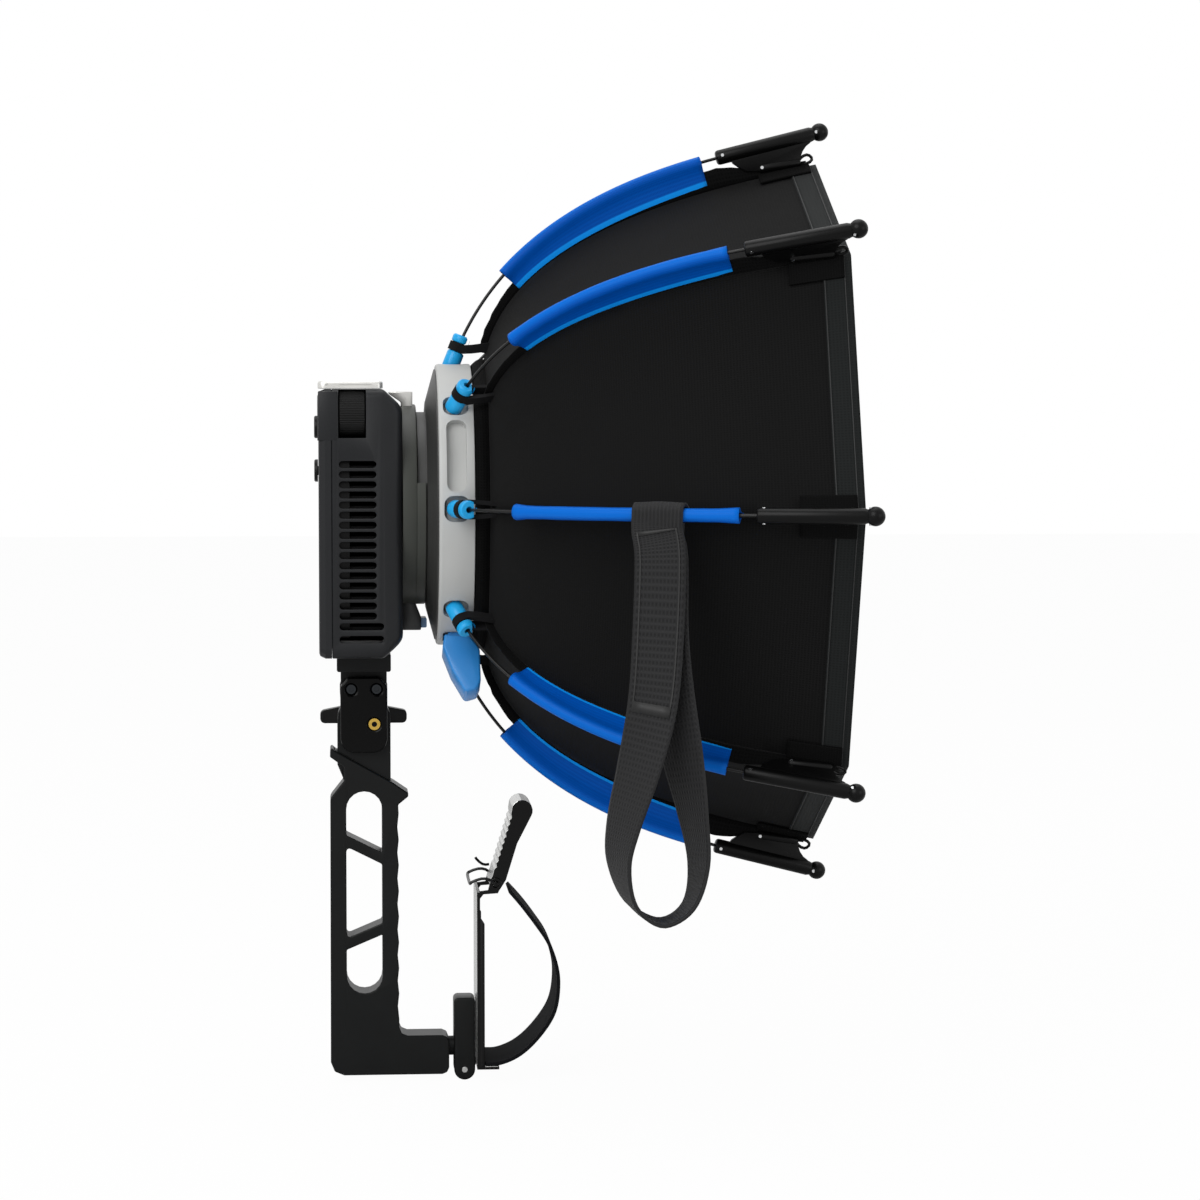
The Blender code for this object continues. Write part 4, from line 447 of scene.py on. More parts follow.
lip_profile = [(MOUNT_FRONT_X - 0.001, LIP_RADII[0]), (MOUNT_FRONT_X - 0.001, LIP_RADII[1]),
               (LIP_FRONT_X - 0.0004, LIP_RADII[1]), (LIP_FRONT_X, LIP_RADII[1] - 0.0004),
               (LIP_FRONT_X, LIP_RADII[0]), (MOUNT_FRONT_X - 0.001, LIP_RADII[0])]
lip = lathe(lip_profile, on_axis, (1, 0, 0), 90, math.radians(138.0))
lowest = min(math.atan2(v.co.z - AXIS_Z, -v.co.y) for v in lip.verts)
bmesh.ops.rotate(lip, cent=on_axis, matrix=Matrix.Rotation(lowest - math.radians(14.0), 3, "X"), verts=lip.verts)
top_boss = slab([(MOUNT_REAR_X, AXIS_Z + MOUNT_RADIUS - 0.008), (0.0219, AXIS_Z + MOUNT_RADIUS - 0.008),
                 (0.0219, BODY_TOP_Z - 0.0011), (0.0116, BODY_TOP_Z - 0.0011), (0.0116, BODY_TOP_Z - 0.0020),
                 (MOUNT_REAR_X, BODY_TOP_Z - 0.0058)], -BOSS_DEPTH / 2.0, BOSS_DEPTH / 2.0, 0.0004)
piece("bayonet_ring", joined(bayonet, lip), grey_cast, "lamp", ("mount_ring",))
piece("mount_boss", top_boss, light_alloy, "lamp")
under = AXIS_Z - MOUNT_RADIUS
housing = slab([(MOUNT_REAR_X, under + 0.0032), (0.0222, under + 0.0032), (0.0254, under - 0.0050),
                (0.0254, under - 0.0108), (MOUNT_REAR_X, under - 0.0108)], -0.010, 0.010, 0.0006)
tab_slot = slab([(0.0202, under - 0.0053), (0.0202, under - 0.0102), (0.0290, under - 0.0102),
                 (0.0290, under - 0.0053)], -0.0068, 0.0068, 0.0)
piece("lock_housing", carved(housing, tab_slot), lock_black, "lamp")

# ---------------------------------------------------------------- softbox hub
# Moulded pale grey ring with a pocket for each peg and two shallow windows; its blue release
# paddle is moulded with a soft sheen.
hub_plastic = finish("pale grey moulded nylon", "#B4B5B3", "#BEBFBD", 0.5, grain=0.0008)
# painted shade: the flange's near-black grey stands for the shadow it lies in between the mount and the band
flange_painted_shade = finish("grey moulded nylon, darkened as painted shade", "#2A2A29", "#343433", 0.5, grain=0.0008)
deep_blue = finish("deeper sky-blue moulded nylon", "#2680CC", "#3690D8", 0.36, grain=0.0012)
blue_moulded = finish("sky-blue moulded nylon", "#18A0E4", "#26B0F0", 0.3, grain=0.0012,
                      specular_ior_level=0.3)
HUB_RADIUS = 0.0624
HUB_REAR_X = 0.0321
HUB_FRONT_X = 0.0475
RIBS = 8


def rib(index):
    """Turns the frame of the top rib to another rib."""
    return Matrix.Translation((0.0, 0.0, AXIS_Z)) @ Matrix.Rotation(math.tau * index / RIBS, 4, "X")


def recess(turn, x_range, half_length, floor, corner):
    """Round-cornered cutter that sinks into the hub's band at one rib position."""
    low, high = x_range
    cutter = bmesh.new()
    place = Matrix.Translation(((low + high) / 2.0, 0.0, floor + 0.010))
    bmesh.ops.create_cube(cutter, size=1.0,
                          matrix=place @ Matrix.Diagonal((high - low, 2.0 * half_length, 0.020, 1.0)))
    upright = [e for e in cutter.edges if abs((e.verts[0].co - e.verts[1].co).z) > 0.010]
    bmesh.ops.bevel(cutter, geom=upright, offset=corner, offset_type="OFFSET", affect="EDGES", segments=8,
                    profile=0.5, material=-1)
    bmesh.ops.transform(cutter, matrix=rib(turn), verts=cutter.verts)
    return cutter


flange_profile = [(0.0236, 0.0361), (0.0236, 0.0411), (0.0276, 0.0411), (0.0276, 0.0458),
                  (HUB_REAR_X - 0.0006, 0.0600), (HUB_REAR_X + 0.0030, 0.0600), (0.0320, 0.0480),
                  (0.0310, 0.0440), (0.0310, 0.0361), (0.0236, 0.0361)]
# the flange, in its painted-shade grey
piece("hub_flange", lathe(flange_profile, on_axis, (1, 0, 0), 240), flange_painted_shade, "softbox")
hub_profile = [(HUB_REAR_X, 0.0590), (HUB_REAR_X, 0.0614), (HUB_REAR_X + 0.0003, 0.0620),
               (HUB_REAR_X + 0.0009, HUB_RADIUS - 0.0001), (HUB_REAR_X + 0.0014, HUB_RADIUS),
               (HUB_FRONT_X - 0.0007, HUB_RADIUS), (HUB_FRONT_X - 0.0002, HUB_RADIUS - 0.0002),
               (HUB_FRONT_X, HUB_RADIUS - 0.0007), (HUB_FRONT_X, 0.0545), (0.0360, 0.0545), (HUB_REAR_X, 0.0590)]
hub = lathe(hub_profile, on_axis, (1, 0, 0), 240)
for index in range(RIBS):
    hub = carved(hub, recess(index, (0.0342, 0.0452), 0.0056, HUB_RADIUS - 0.0044, 0.0040))
hub = carved(hub, recess(3.5, (0.0345, 0.0450), 0.0064, HUB_RADIUS - 0.0044, 0.0020))
for degrees in (22.0, 202.0):
    hub = carved(hub, recess(2.0 - degrees / 45.0, (0.0354, 0.0440), 0.0165, HUB_RADIUS - 0.0060, 0.0036))
piece("speed_ring", hub, hub_plastic, "softbox", ("hub_ring",))
dressed("release_paddle", 0.0004, deep_blue, "paddle")

# ---------------------------------------------------------------- ribs
# Eight spring-steel rods stand in blue bobbin pegs; black elastic ties each peg's waist to the
# dome. Positions are (along the axis, away from the axis) in the frame of the top rib.
RIM_RADIUS = 0.1503
ROD_RADIUS = 0.0007
ROD_CURVE = ((0.0431, HUB_RADIUS + 0.0089), (0.0603, HUB_RADIUS + 0.0470),
             (0.0954, RIM_RADIUS - 0.0130), (0.1574, RIM_RADIUS + 0.0034))
PEG_FOOT = Vector((0.0385, 0.0, HUB_RADIUS - 0.0022))
PEG_LEAN = math.radians(22.0)
PEG_LENGTH = 0.0157
PEG_WAIST = 0.0026


def bezier(curve, share):
    """Point on a cubic curve, in the plane of a rib."""
    rest = 1.0 - share
    weights = (rest ** 3, 3 * rest ** 2 * share, 3 * rest * share ** 2, share ** 3)
    return Vector((sum(p[0] * w for p, w in zip(curve, weights)), 0.0,
                   sum(p[1] * w for p, w in zip(curve, weights))))


def outward(curve, share):
    """Unit normal of a curve in the plane of a rib, away from the axis."""
    way = bezier(curve, min(share + 0.001, 1.0)) - bezier(curve, max(share - 0.001, 0.0))
    return Vector((-way.z, 0.0, way.x)).normalized()


def draped(columns, rows, shape, size=(1.0, 1.0), closed=False):
    """Grid whose points shape(across, along) puts in place, both from 0 to 1; size is the flat cut."""
    mesh = bmesh.new()
    bmesh.ops.create_grid(mesh, x_segments=columns, y_segments=rows, size=0.5)
    weave = mesh.loops.layers.uv.new("weave")
    for face in mesh.faces:
        for corner in face.loops:
            corner[weave].uv = ((corner.vert.co.x + 0.5) * size[0], (corner.vert.co.y + 0.5) * size[1])
    for point in mesh.verts:
        point.co = shape(point.co.x + 0.5, point.co.y + 0.5)
    bmesh.ops.remove_doubles(mesh, verts=mesh.verts, dist=0.000005)
    if closed:
        bmesh.ops.holes_fill(mesh, edges=[e for e in mesh.edges if e.is_boundary], sides=0)
        bmesh.ops.recalc_face_normals(mesh, faces=mesh.faces)
    return mesh


def swept(path, up, section, size=None, closed=True):
    """Closed section swept along a path; section(share) gives (sideways, up) pairs."""
    last = len(path) - 1
    sides = len(section(0.0))
    stations = []
    for index, here in enumerate(path):
        way = (path[min(index + 1, last)] - path[max(index - 1, 0)]).normalized()
        side = way.cross(up(index / last)).normalized()
        stations.append((here, side, side.cross(way)))

    def shape(across, along):
        here, side, high = stations[round(along * last)]
        a, b = section(along)[round(across * sides) % sides]
        return here + side * a + high * b

    length = sum((b - a).length for a, b in zip(path, path[1:]))
    return draped(sides, last, shape, size or (0.01, length), closed)


def ring_of(points, radius):
    """Round section for swept()."""
    return [(radius * math.cos(math.tau * i / points), radius * math.sin(math.tau * i / points))
            for i in range(points)]


spring_steel = finish("black oxide spring steel", "#161616", "#202020", 0.34, 0.6)
black_elastic = finish("black woven elastic", "#0D0D0E", "#161617", 0.85, grain=0.0008, relief=0.00015,
                       specular_ior_level=0.15)
lean = Vector((math.sin(PEG_LEAN), 0.0, math.cos(PEG_LEAN)))
level_way = Vector((math.cos(PEG_LEAN), 0.0, -math.sin(PEG_LEAN)))
waist = PEG_FOOT + lean * (PEG_LENGTH - 0.0055)
peg_profile = ((PEG_LENGTH - 0.0045, 0.0013), (PEG_LENGTH - 0.0002, 0.0013), (PEG_LENGTH, 0.0015),
               (PEG_LENGTH, 0.0034), (PEG_LENGTH - 0.0005, 0.0039), (PEG_LENGTH - 0.0010, 0.0040),
               (PEG_LENGTH - 0.0028, 0.0040), (PEG_LENGTH - 0.0033, 0.0037), (PEG_LENGTH - 0.0036, PEG_WAIST),
               (PEG_LENGTH - 0.0074, PEG_WAIST), (PEG_LENGTH - 0.0077, 0.0035), (PEG_LENGTH - 0.0082, 0.0038),
               (0.0012, 0.0038), (0.0004, 0.0036), (0.0, 0.0031))
loop_path = [(0.0136, 0.0018), (0.0100, 0.0026), (0.0060, 0.0031), (0.0024, 0.0033)]
loop_path += [(0.0033 * math.cos(math.radians(a)), 0.0033 * math.sin(math.radians(a)))
              for a in range(70, 300, 20)]
loop_path += [(x, -y) for x, y in loop_path[3::-1]]
for index in range(RIBS):
    number = index + 1
    mouth = bmesh.new()
    bmesh.ops.create_cube(mouth, size=1.0, matrix=Matrix.Translation(
        PEG_FOOT + lean * (PEG_LENGTH - 0.0005) + level_way * 0.0030)
        @ lean.to_track_quat("Z", "Y").to_matrix().to_4x4() @ Matrix.Diagonal((0.0060, 0.0018, 0.0060, 1.0)))
    bobbin = carved(lathe(peg_profile, PEG_FOOT, lean, 32), mouth)
    bmesh.ops.transform(bobbin, matrix=rib(index), verts=bobbin.verts)
    piece(f"bobbin_{number}", bobbin, blue_moulded, "softbox", (f"peg_{number}",))

    stations = [rib(index) @ bezier(ROD_CURVE, i / 48) for i in range(49)]
    facing = rib(index).to_3x3() @ Vector((0.0, 1.0, 0.0))
    wire = swept(stations, lambda share: facing, lambda share: ring_of(12, ROD_RADIUS))
    piece(f"spring_rod_{number}", wire, spring_steel, "softbox", (f"rod_{number}",))

    band = [rib(index) @ (waist + level_way * x + Vector((0.0, y, 0.0))
                          + lean * max(0.0, x - 0.003) * 0.55) for x, y in loop_path]
    tie_up = rib(index).to_3x3() @ lean
    tie = swept(band, lambda share: tie_up,
                lambda share: [(-0.0009, -0.0019), (0.0009, -0.0019), (0.0009, 0.0019), (-0.0009, 0.0019)])
    piece(f"elastic_loop_{number}", tie, black_elastic, "softbox")

# ---------------------------------------------------------------- dome cloth
# Eight tapered panels of black coated nylon sewn at the corners over the ribs, hemmed at the rim,
# with a pocket patch at each rim corner for the lever's bar. It hangs a little slack between ribs.
DOME_CURVE = ((HUB_FRONT_X + 0.0065, HUB_RADIUS + 0.0016), (HUB_FRONT_X + 0.0155, HUB_RADIUS + 0.0525),
              (0.1356, RIM_RADIUS - 0.0131), (0.2022, RIM_RADIUS))
PANEL_SLACK = 0.0022
DOME_LENGTH = 0.1800


def woven(name, thread, dark, light, thread_size, relief, roughness=0.8, sheen=0.1, specular=0.15):
    """Cloth with a plain weave drawn over its own flat pattern in metres, threads of that size."""
    material = finish(name, dark, light, roughness, patch=0.03, specular_ior_level=specular,
                      sheen_weight=sheen, sheen_roughness=0.5)
    tree = material.node_tree
    flat = add(tree, "TexCoord").outputs["UV"]
    warp = add(tree, "TexWave", {"bands_direction": "X"}, {"Vector": flat, "Scale": 0.314 / thread_size})
    weft = add(tree, "TexWave", {"bands_direction": "Y"}, {"Vector": flat, "Scale": 0.314 / thread_size})
    cross = add(tree, "Math", {"operation": "MAXIMUM"}, {0: warp.outputs["Fac"], 1: weft.outputs["Fac"]})
    bump = add(tree, "Bump", {}, {"Height": cross.outputs[0], "Strength": 0.6, "Distance": relief})
    shader = tree.nodes["Principled BSDF"]
    tree.links.new(bump.outputs[0], shader.inputs["Normal"])
    first = shader.inputs["Base Color"].links[0].from_socket
    shade = add(tree, "Mix", {"data_type": "RGBA"}, {0: cross.outputs[0], 6: tint(thread), 7: first})
    tree.links.new(shade.outputs[2], shader.inputs["Base Color"])
    return material


def dome_point(turn, share, lift=0.0):
    """Point of the dome: turn counts ribs round it, share runs from the hub to the rim."""
    first = math.floor(turn)
    across = turn - first
    corner = bezier(DOME_CURVE, share) + outward(DOME_CURVE, share) * lift
    flat = (rib(first) @ corner).lerp(rib(first + 1) @ corner, across)
    hollow = (4.0 * across * (1.0 - across)) ** 0.8 * math.sin(math.pi * min(1.0, share * 1.05)) ** 0.6
    normal = rib(first + 0.5).to_3x3() @ outward(DOME_CURVE, share)
    ripple = noise.noise(Vector((flat.x * 18.0, flat.y * 24.0, flat.z * 24.0))) * 0.0009
    ripple += noise.noise(Vector((flat.x * 60.0, flat.y * 75.0, flat.z * 75.0))) * 0.0002
    return flat - normal * (PANEL_SLACK * hollow + ripple * min(1.0, hollow * 2.0))


def share_at(x):
    """Share along the dome's corner at one x."""
    return min(range(1001), key=lambda i: abs(bezier(DOME_CURVE, i / 1000).x - x)) / 1000


black_cloth = woven("black coated nylon cloth", "#0C0C0C", "#131313", "#181818", 0.0011, 0.00006, 0.8, 0.02, 0.05)
black_binding = woven("black binding tape", "#040404", "#080808", "#0E0E0E", 0.0013, 0.0002, 0.8, 0.02, 0.05)
hem_cloth = woven("grosgrain hem", "#121414", "#191B1B", "#1E2020", 0.0012, 0.0001, 0.8, 0.05, 0.1)
patch_cloth = woven("black pocket canvas", "#080808", "#0D0D0D", "#111111", 0.0010, 0.0001, 0.8, 0.0, 0.04)
stitch_thread = finish("polyester thread", "#181919", "#202121", 0.7)


def thick(made, thickness):
    """Gives a sheet its thickness, half to each side."""
    wall = made.modifiers.new("thickness", "SOLIDIFY")
    wall.thickness = thickness
    wall.offset = 0.0
    return made


def sewn(name, mesh, cloth, thickness, stands_for=()):
    """Adds a piece that is sewn to the dome."""
    thick(piece(name, mesh, cloth, "softbox", stands_for, 50.0), thickness)


cloth = draped(128, 60, lambda across, along: dome_point(across * RIBS, along ** 1.1), (0.92, DOME_LENGTH))
cloth_area = sum(face.calc_area() for face in cloth.faces)
dome = thick(piece("dome_cloth", cloth, black_cloth, "softbox", ("dome_fabric",), 50.0), 0.0006)


def cuff_point(across, along):
    """Round at the hub's front edge, eight-sided where the dome's panels begin."""
    turn = across * RIBS
    there = dome_point(turn, 0.0)
    here = rib(turn) @ Vector((HUB_FRONT_X + 0.0005, 0.0, HUB_RADIUS - 0.0012))
    return here.lerp(there, along) + rib(turn).to_3x3() @ Vector((0.0, 0.0, 0.0012 * math.sin(math.pi * along)))


cuff = draped(128, 8, cuff_point, (0.39, 0.007))
sewn("hub_cuff", cuff, black_binding, 0.0008)

hem_start = share_at(0.1903)
hem = draped(128, 6, lambda across, along: dome_point(across * RIBS, hem_start * (1.0 - along) + along, 0.0007),
             (0.92, 0.010))
sewn("rim_hem", hem, hem_cloth, 0.0006)
for name, x in (("hem_seam_inner", 0.1908), ("hem_seam_outer", 0.1990)):
    start = share_at(x)
    seam = draped(256, 1, lambda across, along: dome_point(across * RIBS, start + along * 0.0022, 0.0012),
                  (0.92, 0.0004))
    sewn(name, seam, stitch_thread, 0.0003)

for index in range(RIBS):
    number = index + 1
    start, end = share_at(0.1765), share_at(0.1992)
    pocket = draped(24, 12, lambda across, along: dome_point(index - 0.075 + across * 0.165,
                                                            start + (end - start) * along, 0.0016), (0.023, 0.021))
    sewn(f"pocket_patch_{number}", pocket, patch_cloth, 0.0010)

    def fin(across, along, index=index):
        """Corner binding that stands up from the seam, low at the hub and under the sleeve."""
        share = 0.02 + 0.96 * along
        here = bezier(DOME_CURVE, share)
        tail = min(1.0, max(0.0, (here.x - 0.1440) / 0.0070)) * max(0.0, min(1.0, (0.1850 - here.x) / 0.0240))
        height = 0.0046 - 0.0012 * math.cos(math.tau * share) + 0.0046 * tail
        height += 0.0006 * noise.noise(Vector((share * 40.0, index, 0.0)))
        sway = 0.0008 * noise.noise(Vector((share * 30.0, index, 7.0))) * across * tail
        return rib(index) @ (here + outward(DOME_CURVE, share) * height * across + Vector((0.0, sway, 0.0)))

    binding = draped(3, 60, fin, (0.006, DOME_LENGTH))
    sewn(f"corner_binding_{number}", binding, black_binding, 0.0009)

# ---------------------------------------------------------------- diffuser
# White nylon front cloth, gathered on an elastic inside the rim.
white_cloth = woven("white diffusion nylon", "#D8D8D6", "#E6E6E4", "#EEEEEC", 0.0009, 0.00006, 0.7)
FRONT_X = 0.1936
front_edge = Vector((FRONT_X, 0.0, bezier(DOME_CURVE, share_at(FRONT_X)).z - 0.0018))


def front_point(across, along):
    """Eight-sided sheet, hollow in the middle."""
    turn = across * RIBS
    first = math.floor(turn)
    rim = (rib(first) @ front_edge).lerp(rib(first + 1) @ front_edge, turn - first)
    middle = Vector((FRONT_X - 0.006, 0.0, AXIS_Z))
    here = middle.lerp(rim, along)
    here.x = FRONT_X - 0.0045 * (1.0 - along ** 2) + 0.0004 * noise.noise(here * 30.0)
    return here


front = draped(128, 20, front_point, (0.9, 0.14))
front_area = sum(face.calc_area() for face in front.faces)
diffuser = thick(piece("diffuser_cloth", front, white_cloth, "softbox",
                       ("front_diffuser",)), 0.0006)

# ---------------------------------------------------------------- rod sleeves
# Blue nylon folded over each rod and stitched to the corner seam, with open ends; its colour is a
# lighter blue along its inner edges, and a painted highlight lies along the round top of the fold.
SLEEVE_START, SLEEVE_END = 0.29, 0.962
sleeve_cloth = woven("royal-blue coated nylon", "#0048A4", "#0050B2", "#005CC2", 0.0009, 0.00002, 0.45, 0.0, 0.08)
sleeve_tree = sleeve_cloth.node_tree
sleeve_shader = sleeve_tree.nodes["Principled BSDF"]
flat = add(sleeve_tree, "TexCoord").outputs["UV"]
split = add(sleeve_tree, "SeparateXYZ", {}, {0: flat})
# lighter blue strip near both inner edges of the sleeve
from_edge = add(sleeve_tree, "Math", {"operation": "PINGPONG"}, {0: split.outputs[0], 1: 0.015})
strip = add(sleeve_tree, "MapRange", {}, {"Value": from_edge.outputs[0], "From Min": 0.0030, "From Max": 0.0034,
                                          "To Min": 1.0, "To Max": 0.0})
cloth_colour = sleeve_shader.inputs["Base Color"].links[0].from_socket
edged = add(sleeve_tree, "Mix", {"data_type": "RGBA"}, {0: strip.outputs[0], 6: cloth_colour, 7: tint("#0F94F4")})
# painted highlight: lighter blue over the round top of the fold, where the light falls on it
painted_highlight_band = add(sleeve_tree, "MapRange", {"interpolation_type": "SMOOTHSTEP"}, {
    "Value": from_edge.outputs[0], "From Min": 0.0100, "From Max": 0.0135, "To Min": 0.0, "To Max": 0.55})
edged = add(sleeve_tree, "Mix", {"data_type": "RGBA"},
            {0: painted_highlight_band.outputs[0], 6: edged.outputs[2], 7: tint("#0A78E2")})
sleeve_tree.links.new(edged.outputs[2], sleeve_shader.inputs["Base Color"])
SLEEVE_ROWS = 56
shares = [SLEEVE_START + (SLEEVE_END - SLEEVE_START) * i / SLEEVE_ROWS for i in range(SLEEVE_ROWS + 1)]
seams = [bezier(DOME_CURVE, i / 200) for i in range(201)]
reaches = [min((seam - bezier(ROD_CURVE, share)).length for seam in seams) - 0.0006 for share in shares]
for index in range(RIBS):
    number = index + 1

    def teardrop(along, index=index):
        """Section of the sleeve: round over the rod, two plies together below it."""
        reach = reaches[round(along * SLEEVE_ROWS)] * (1.0 - 0.16 * along ** 3)
        flare = 1.0 + 0.25 * max(0.0, 1.0 - along * 14.0) + 0.2 * max(0.0, 1.0 - (1.0 - along) * 14.0)
        puff = flare * (1.0 + 0.06 * noise.noise(Vector((along * 9.0, index, 3.0))))
        half = [(0.0003, -reach), (0.0005, -reach + 0.0010), (0.0005, -reach + 0.0021), (0.0007, -reach * 0.55),
                (0.0013 * puff, -0.0030), (0.0023 * puff, -0.0014), (0.0026 * puff, 0.0),
                (0.0022 * puff, 0.0014), (0.0012 * puff, 0.0023)]
        return half + [(0.0, 0.0026)] + [(-side, high) for side, high in half[::-1]]

    line = [rib(index) @ bezier(ROD_CURVE, share) for share in shares]
    sleeve = swept(line, lambda share, line=line, index=index: rib(index).to_3x3() @ outward(
        ROD_CURVE, SLEEVE_START + (SLEEVE_END - SLEEVE_START) * share), teardrop, (0.030, 0.150), False)
    sewn(f"rod_sleeve_{number}", sleeve, sleeve_cloth, 0.0004, (f"sleeve_{number}",))

# ---------------------------------------------------------------- rim levers
# Moulded black levers on the rod tips: a tube with a ball end, a web under it and a hooked bar that
# lies in the dome's pocket. Bright steel pins cross the tube's hinge end, the tube near the ball and
# the bar; the hinge one is the pivot pin, and all three also act as painted highlights on the ends.
LEVER_HINGE = Vector((0.1600, 0.0, RIM_RADIUS + 0.0041))
LEVER_SLOPE = math.radians(14.3)
LEVER_LENGTH = 0.0450
LEVER_TUBE = 0.0033
LEVER_BALL = 0.0040
lever_black = finish("black moulded nylon, satin", "#060606", "#0A0A0A", 0.32, grain=0.0009,
                     specular_ior_level=0.13)
# painted highlight: bright steel that also stands for highlight dots on the lever's rounded ends
steel_pins_and_painted_highlights = finish("polished steel pins and painted highlights", "#C4C6C8", "#DADBDB", 0.2, 1.0, relief=0.000005)
lever_place = Matrix.Translation(LEVER_HINGE) @ Matrix.Rotation(-LEVER_SLOPE, 4, "Y")
tube_profile = [(-0.0027, 0.0), (-0.0027, 0.0024), (-0.0023, 0.0030), (-0.0014, LEVER_TUBE),
                (LEVER_LENGTH - 0.0044, LEVER_TUBE), (LEVER_LENGTH - 0.0032, LEVER_TUBE - 0.0004)]
tube_profile += [(LEVER_LENGTH + LEVER_BALL * math.sin(a), LEVER_BALL * math.cos(a))
                 for a in (math.radians(d) for d in range(-45, 91, 9))]
web_outline = [(0.0032, -0.0020), (0.0415, -0.0020), (0.0398, -0.0036), (0.0376, -0.0046), (0.0356, -0.0064),
               (0.0340, -0.0088), (0.0332, -0.0108), (0.0152, -0.0104), (0.0090, -0.0092), (0.0062, -0.0066),
               (0.0040, -0.0042)]
hook_line = [Vector((x, 0.0, z)) for x, z in (
    (0.0332, -0.0098), (0.0342, -0.0090), (0.0356, -0.0084), (0.0371, -0.0083), (0.0382, -0.0089),
    (0.0389, -0.0100), (0.0388, -0.0110), (0.0378, -0.0117), (0.0364, -0.0120), (0.0350, -0.0120))]
# pins at the hinge, near the ball and across the bar, all bright as painted highlights too
# along the tube, above its middle, half the pin's length
PIN_PLACES = ((0.0, 0.0006, 0.00345), (LEVER_LENGTH - 0.0018, 0.0004, 0.0037), (0.0160, -0.0090, 0.0024))
BAR_ENDS = (Vector((0.0152, 0.0, -0.0092)), Vector((0.0332, 0.0, -0.0108)))
BAR_RADIUS = 0.0022
bar_way = BAR_ENDS[1] - BAR_ENDS[0]
reach = bar_way.length
bar_profile = [(-0.0006, 0.0), (-0.0006, 0.0014), (0.0, BAR_RADIUS - 0.0002), (0.0006, BAR_RADIUS),
               (reach - 0.0006, BAR_RADIUS), (reach, BAR_RADIUS - 0.0003), (reach + 0.0004, 0.0012),
               (reach + 0.0004, 0.0)]
for index in range(RIBS):
    number = index + 1
    tube = lathe(tube_profile, (0, 0, 0), (1, 0, 0), 36)
    web = slab(web_outline, -0.0015, 0.0015, 0.0004)
    bar = lathe(bar_profile, BAR_ENDS[0], bar_way, 28)
    hook = swept(hook_line, lambda share: Vector((0.0, 1.0, 0.0)), lambda share: ring_of(8, 0.0007))
    lever = joined(tube, web, bar, hook)
    bmesh.ops.transform(lever, matrix=rib(index) @ lever_place, verts=lever.verts)
    piece(f"lever_body_{number}", lever, lever_black, f"lever_{number}", (f"rim_lever_{number}",))
    pins = joined(*[lathe([(-half, 0.0), (-half, 0.0007), (half, 0.0007), (half, 0.0)], (along, 0.0, high),
                          (0, 1, 0), 16) for along, high, half in PIN_PLACES])
    bmesh.ops.transform(pins, matrix=rib(index) @ lever_place, verts=pins.verts)
    piece(f"lever_pins_and_highlights_{number}", pins, steel_pins_and_painted_highlights, f"lever_{number}")

# ---------------------------------------------------------------- pull strap
# Black polypropylene webbing, 21.5 mm wide, folded over the near rib's sleeve and stitched to
# itself; its fold hangs open and turned a quarter.
STRAP_WIDTH = 0.0215
STRAP_THICKNESS = 0.0014
STRAP_X = 0.1190
STRAP_DROP = 0.1664
STRAP_SWING = 0.0170
STRAP_STEPS = 6
webbing = woven("black polypropylene webbing", "#0E0E0F", "#1C1C1D", "#242425", 0.0016, 0.0003, 0.62, 0.05, 0.2)
strap_thread = finish("black polyester thread", "#0A0A0A", "#101010", 0.6)
strap_share = min(range(401), key=lambda i: abs(bezier(ROD_CURVE, i / 400).x - STRAP_X)) / 400
rod_there = bezier(ROD_CURVE, strap_share)
rod_normal = outward(ROD_CURVE, strap_share)
rod_lean = math.degrees(math.atan2(-rod_normal.x, rod_normal.z))


def beside(away, z):
    """Point of the strap near the rod, with its turn about the upright."""
    point = rod_there + rod_normal * away
    return Vector((point.x, -point.z, AXIS_Z + z, -rod_lean))


def smooth(points, steps):
    """Catmull-Rom curve through points of any dimension."""
    ends = [points[0] * 2 - points[1]] + points + [points[-1] * 2 - points[-2]]
    path = []
    for a, b, c, d in zip(ends, ends[1:], ends[2:], ends[3:]):
        for t in [step / steps for step in range(steps)]:
            path.append(0.5 * (2 * b + (c - a) * t + (2 * a - 5 * b + 4 * c - d) * t * t
                               + (3 * b - a - 3 * c + d) * t ** 3))
    return path + [points[-1].copy()]


fold = [(0.000, 0.0046, 0.108, -22), (-0.059, 0.0053, 0.290, -22), (-0.194, 0.0060, 0.460, -28),
        (-0.529, 0.0065, 0.618, -42), (-0.882, 0.0065, 0.752, -57), (-1.000, 0.0058, 0.851, -70),
        (-0.706, 0.0046, 0.951, -82), (0.018, 0.0034, 1.000, -90), (0.700, 0.0024, 0.960, -85),
        (0.941, 0.0018, 0.857, -74), (0.794, 0.0014, 0.733, -62), (0.524, 0.0012, 0.585, -44),
        (0.247, 0.0012, 0.439, -30), (0.082, 0.0016, 0.292, -23), (0.059, 0.0021, 0.109, -22)]
route = [beside(-0.0052, 0.0024), beside(-0.0022, 0.0042), beside(0.0008, 0.0044), beside(0.0031, 0.0024),
         beside(0.0035, -0.0010), beside(0.0036, -0.0060)]
route += [Vector((STRAP_X + swing * STRAP_SWING, -rod_there.z - out, AXIS_Z - drop * STRAP_DROP, turn))
          for swing, out, drop, turn in fold]
route += [beside(0.0016, -0.0100), beside(0.0016, -0.0030)]
strap_line = smooth(route, STRAP_STEPS)
strap_frames = []
for index, here in enumerate(strap_line):
    way = (strap_line[min(index + 1, len(strap_line) - 1)] - strap_line[max(index - 1, 0)]).to_3d().normalized()
    across = Vector((math.cos(math.radians(here.w)), math.sin(math.radians(here.w)), 0.0))
    across = (across - way * across.dot(way)).normalized()
    strap_frames.append((here.to_3d(), across, way.cross(across)))


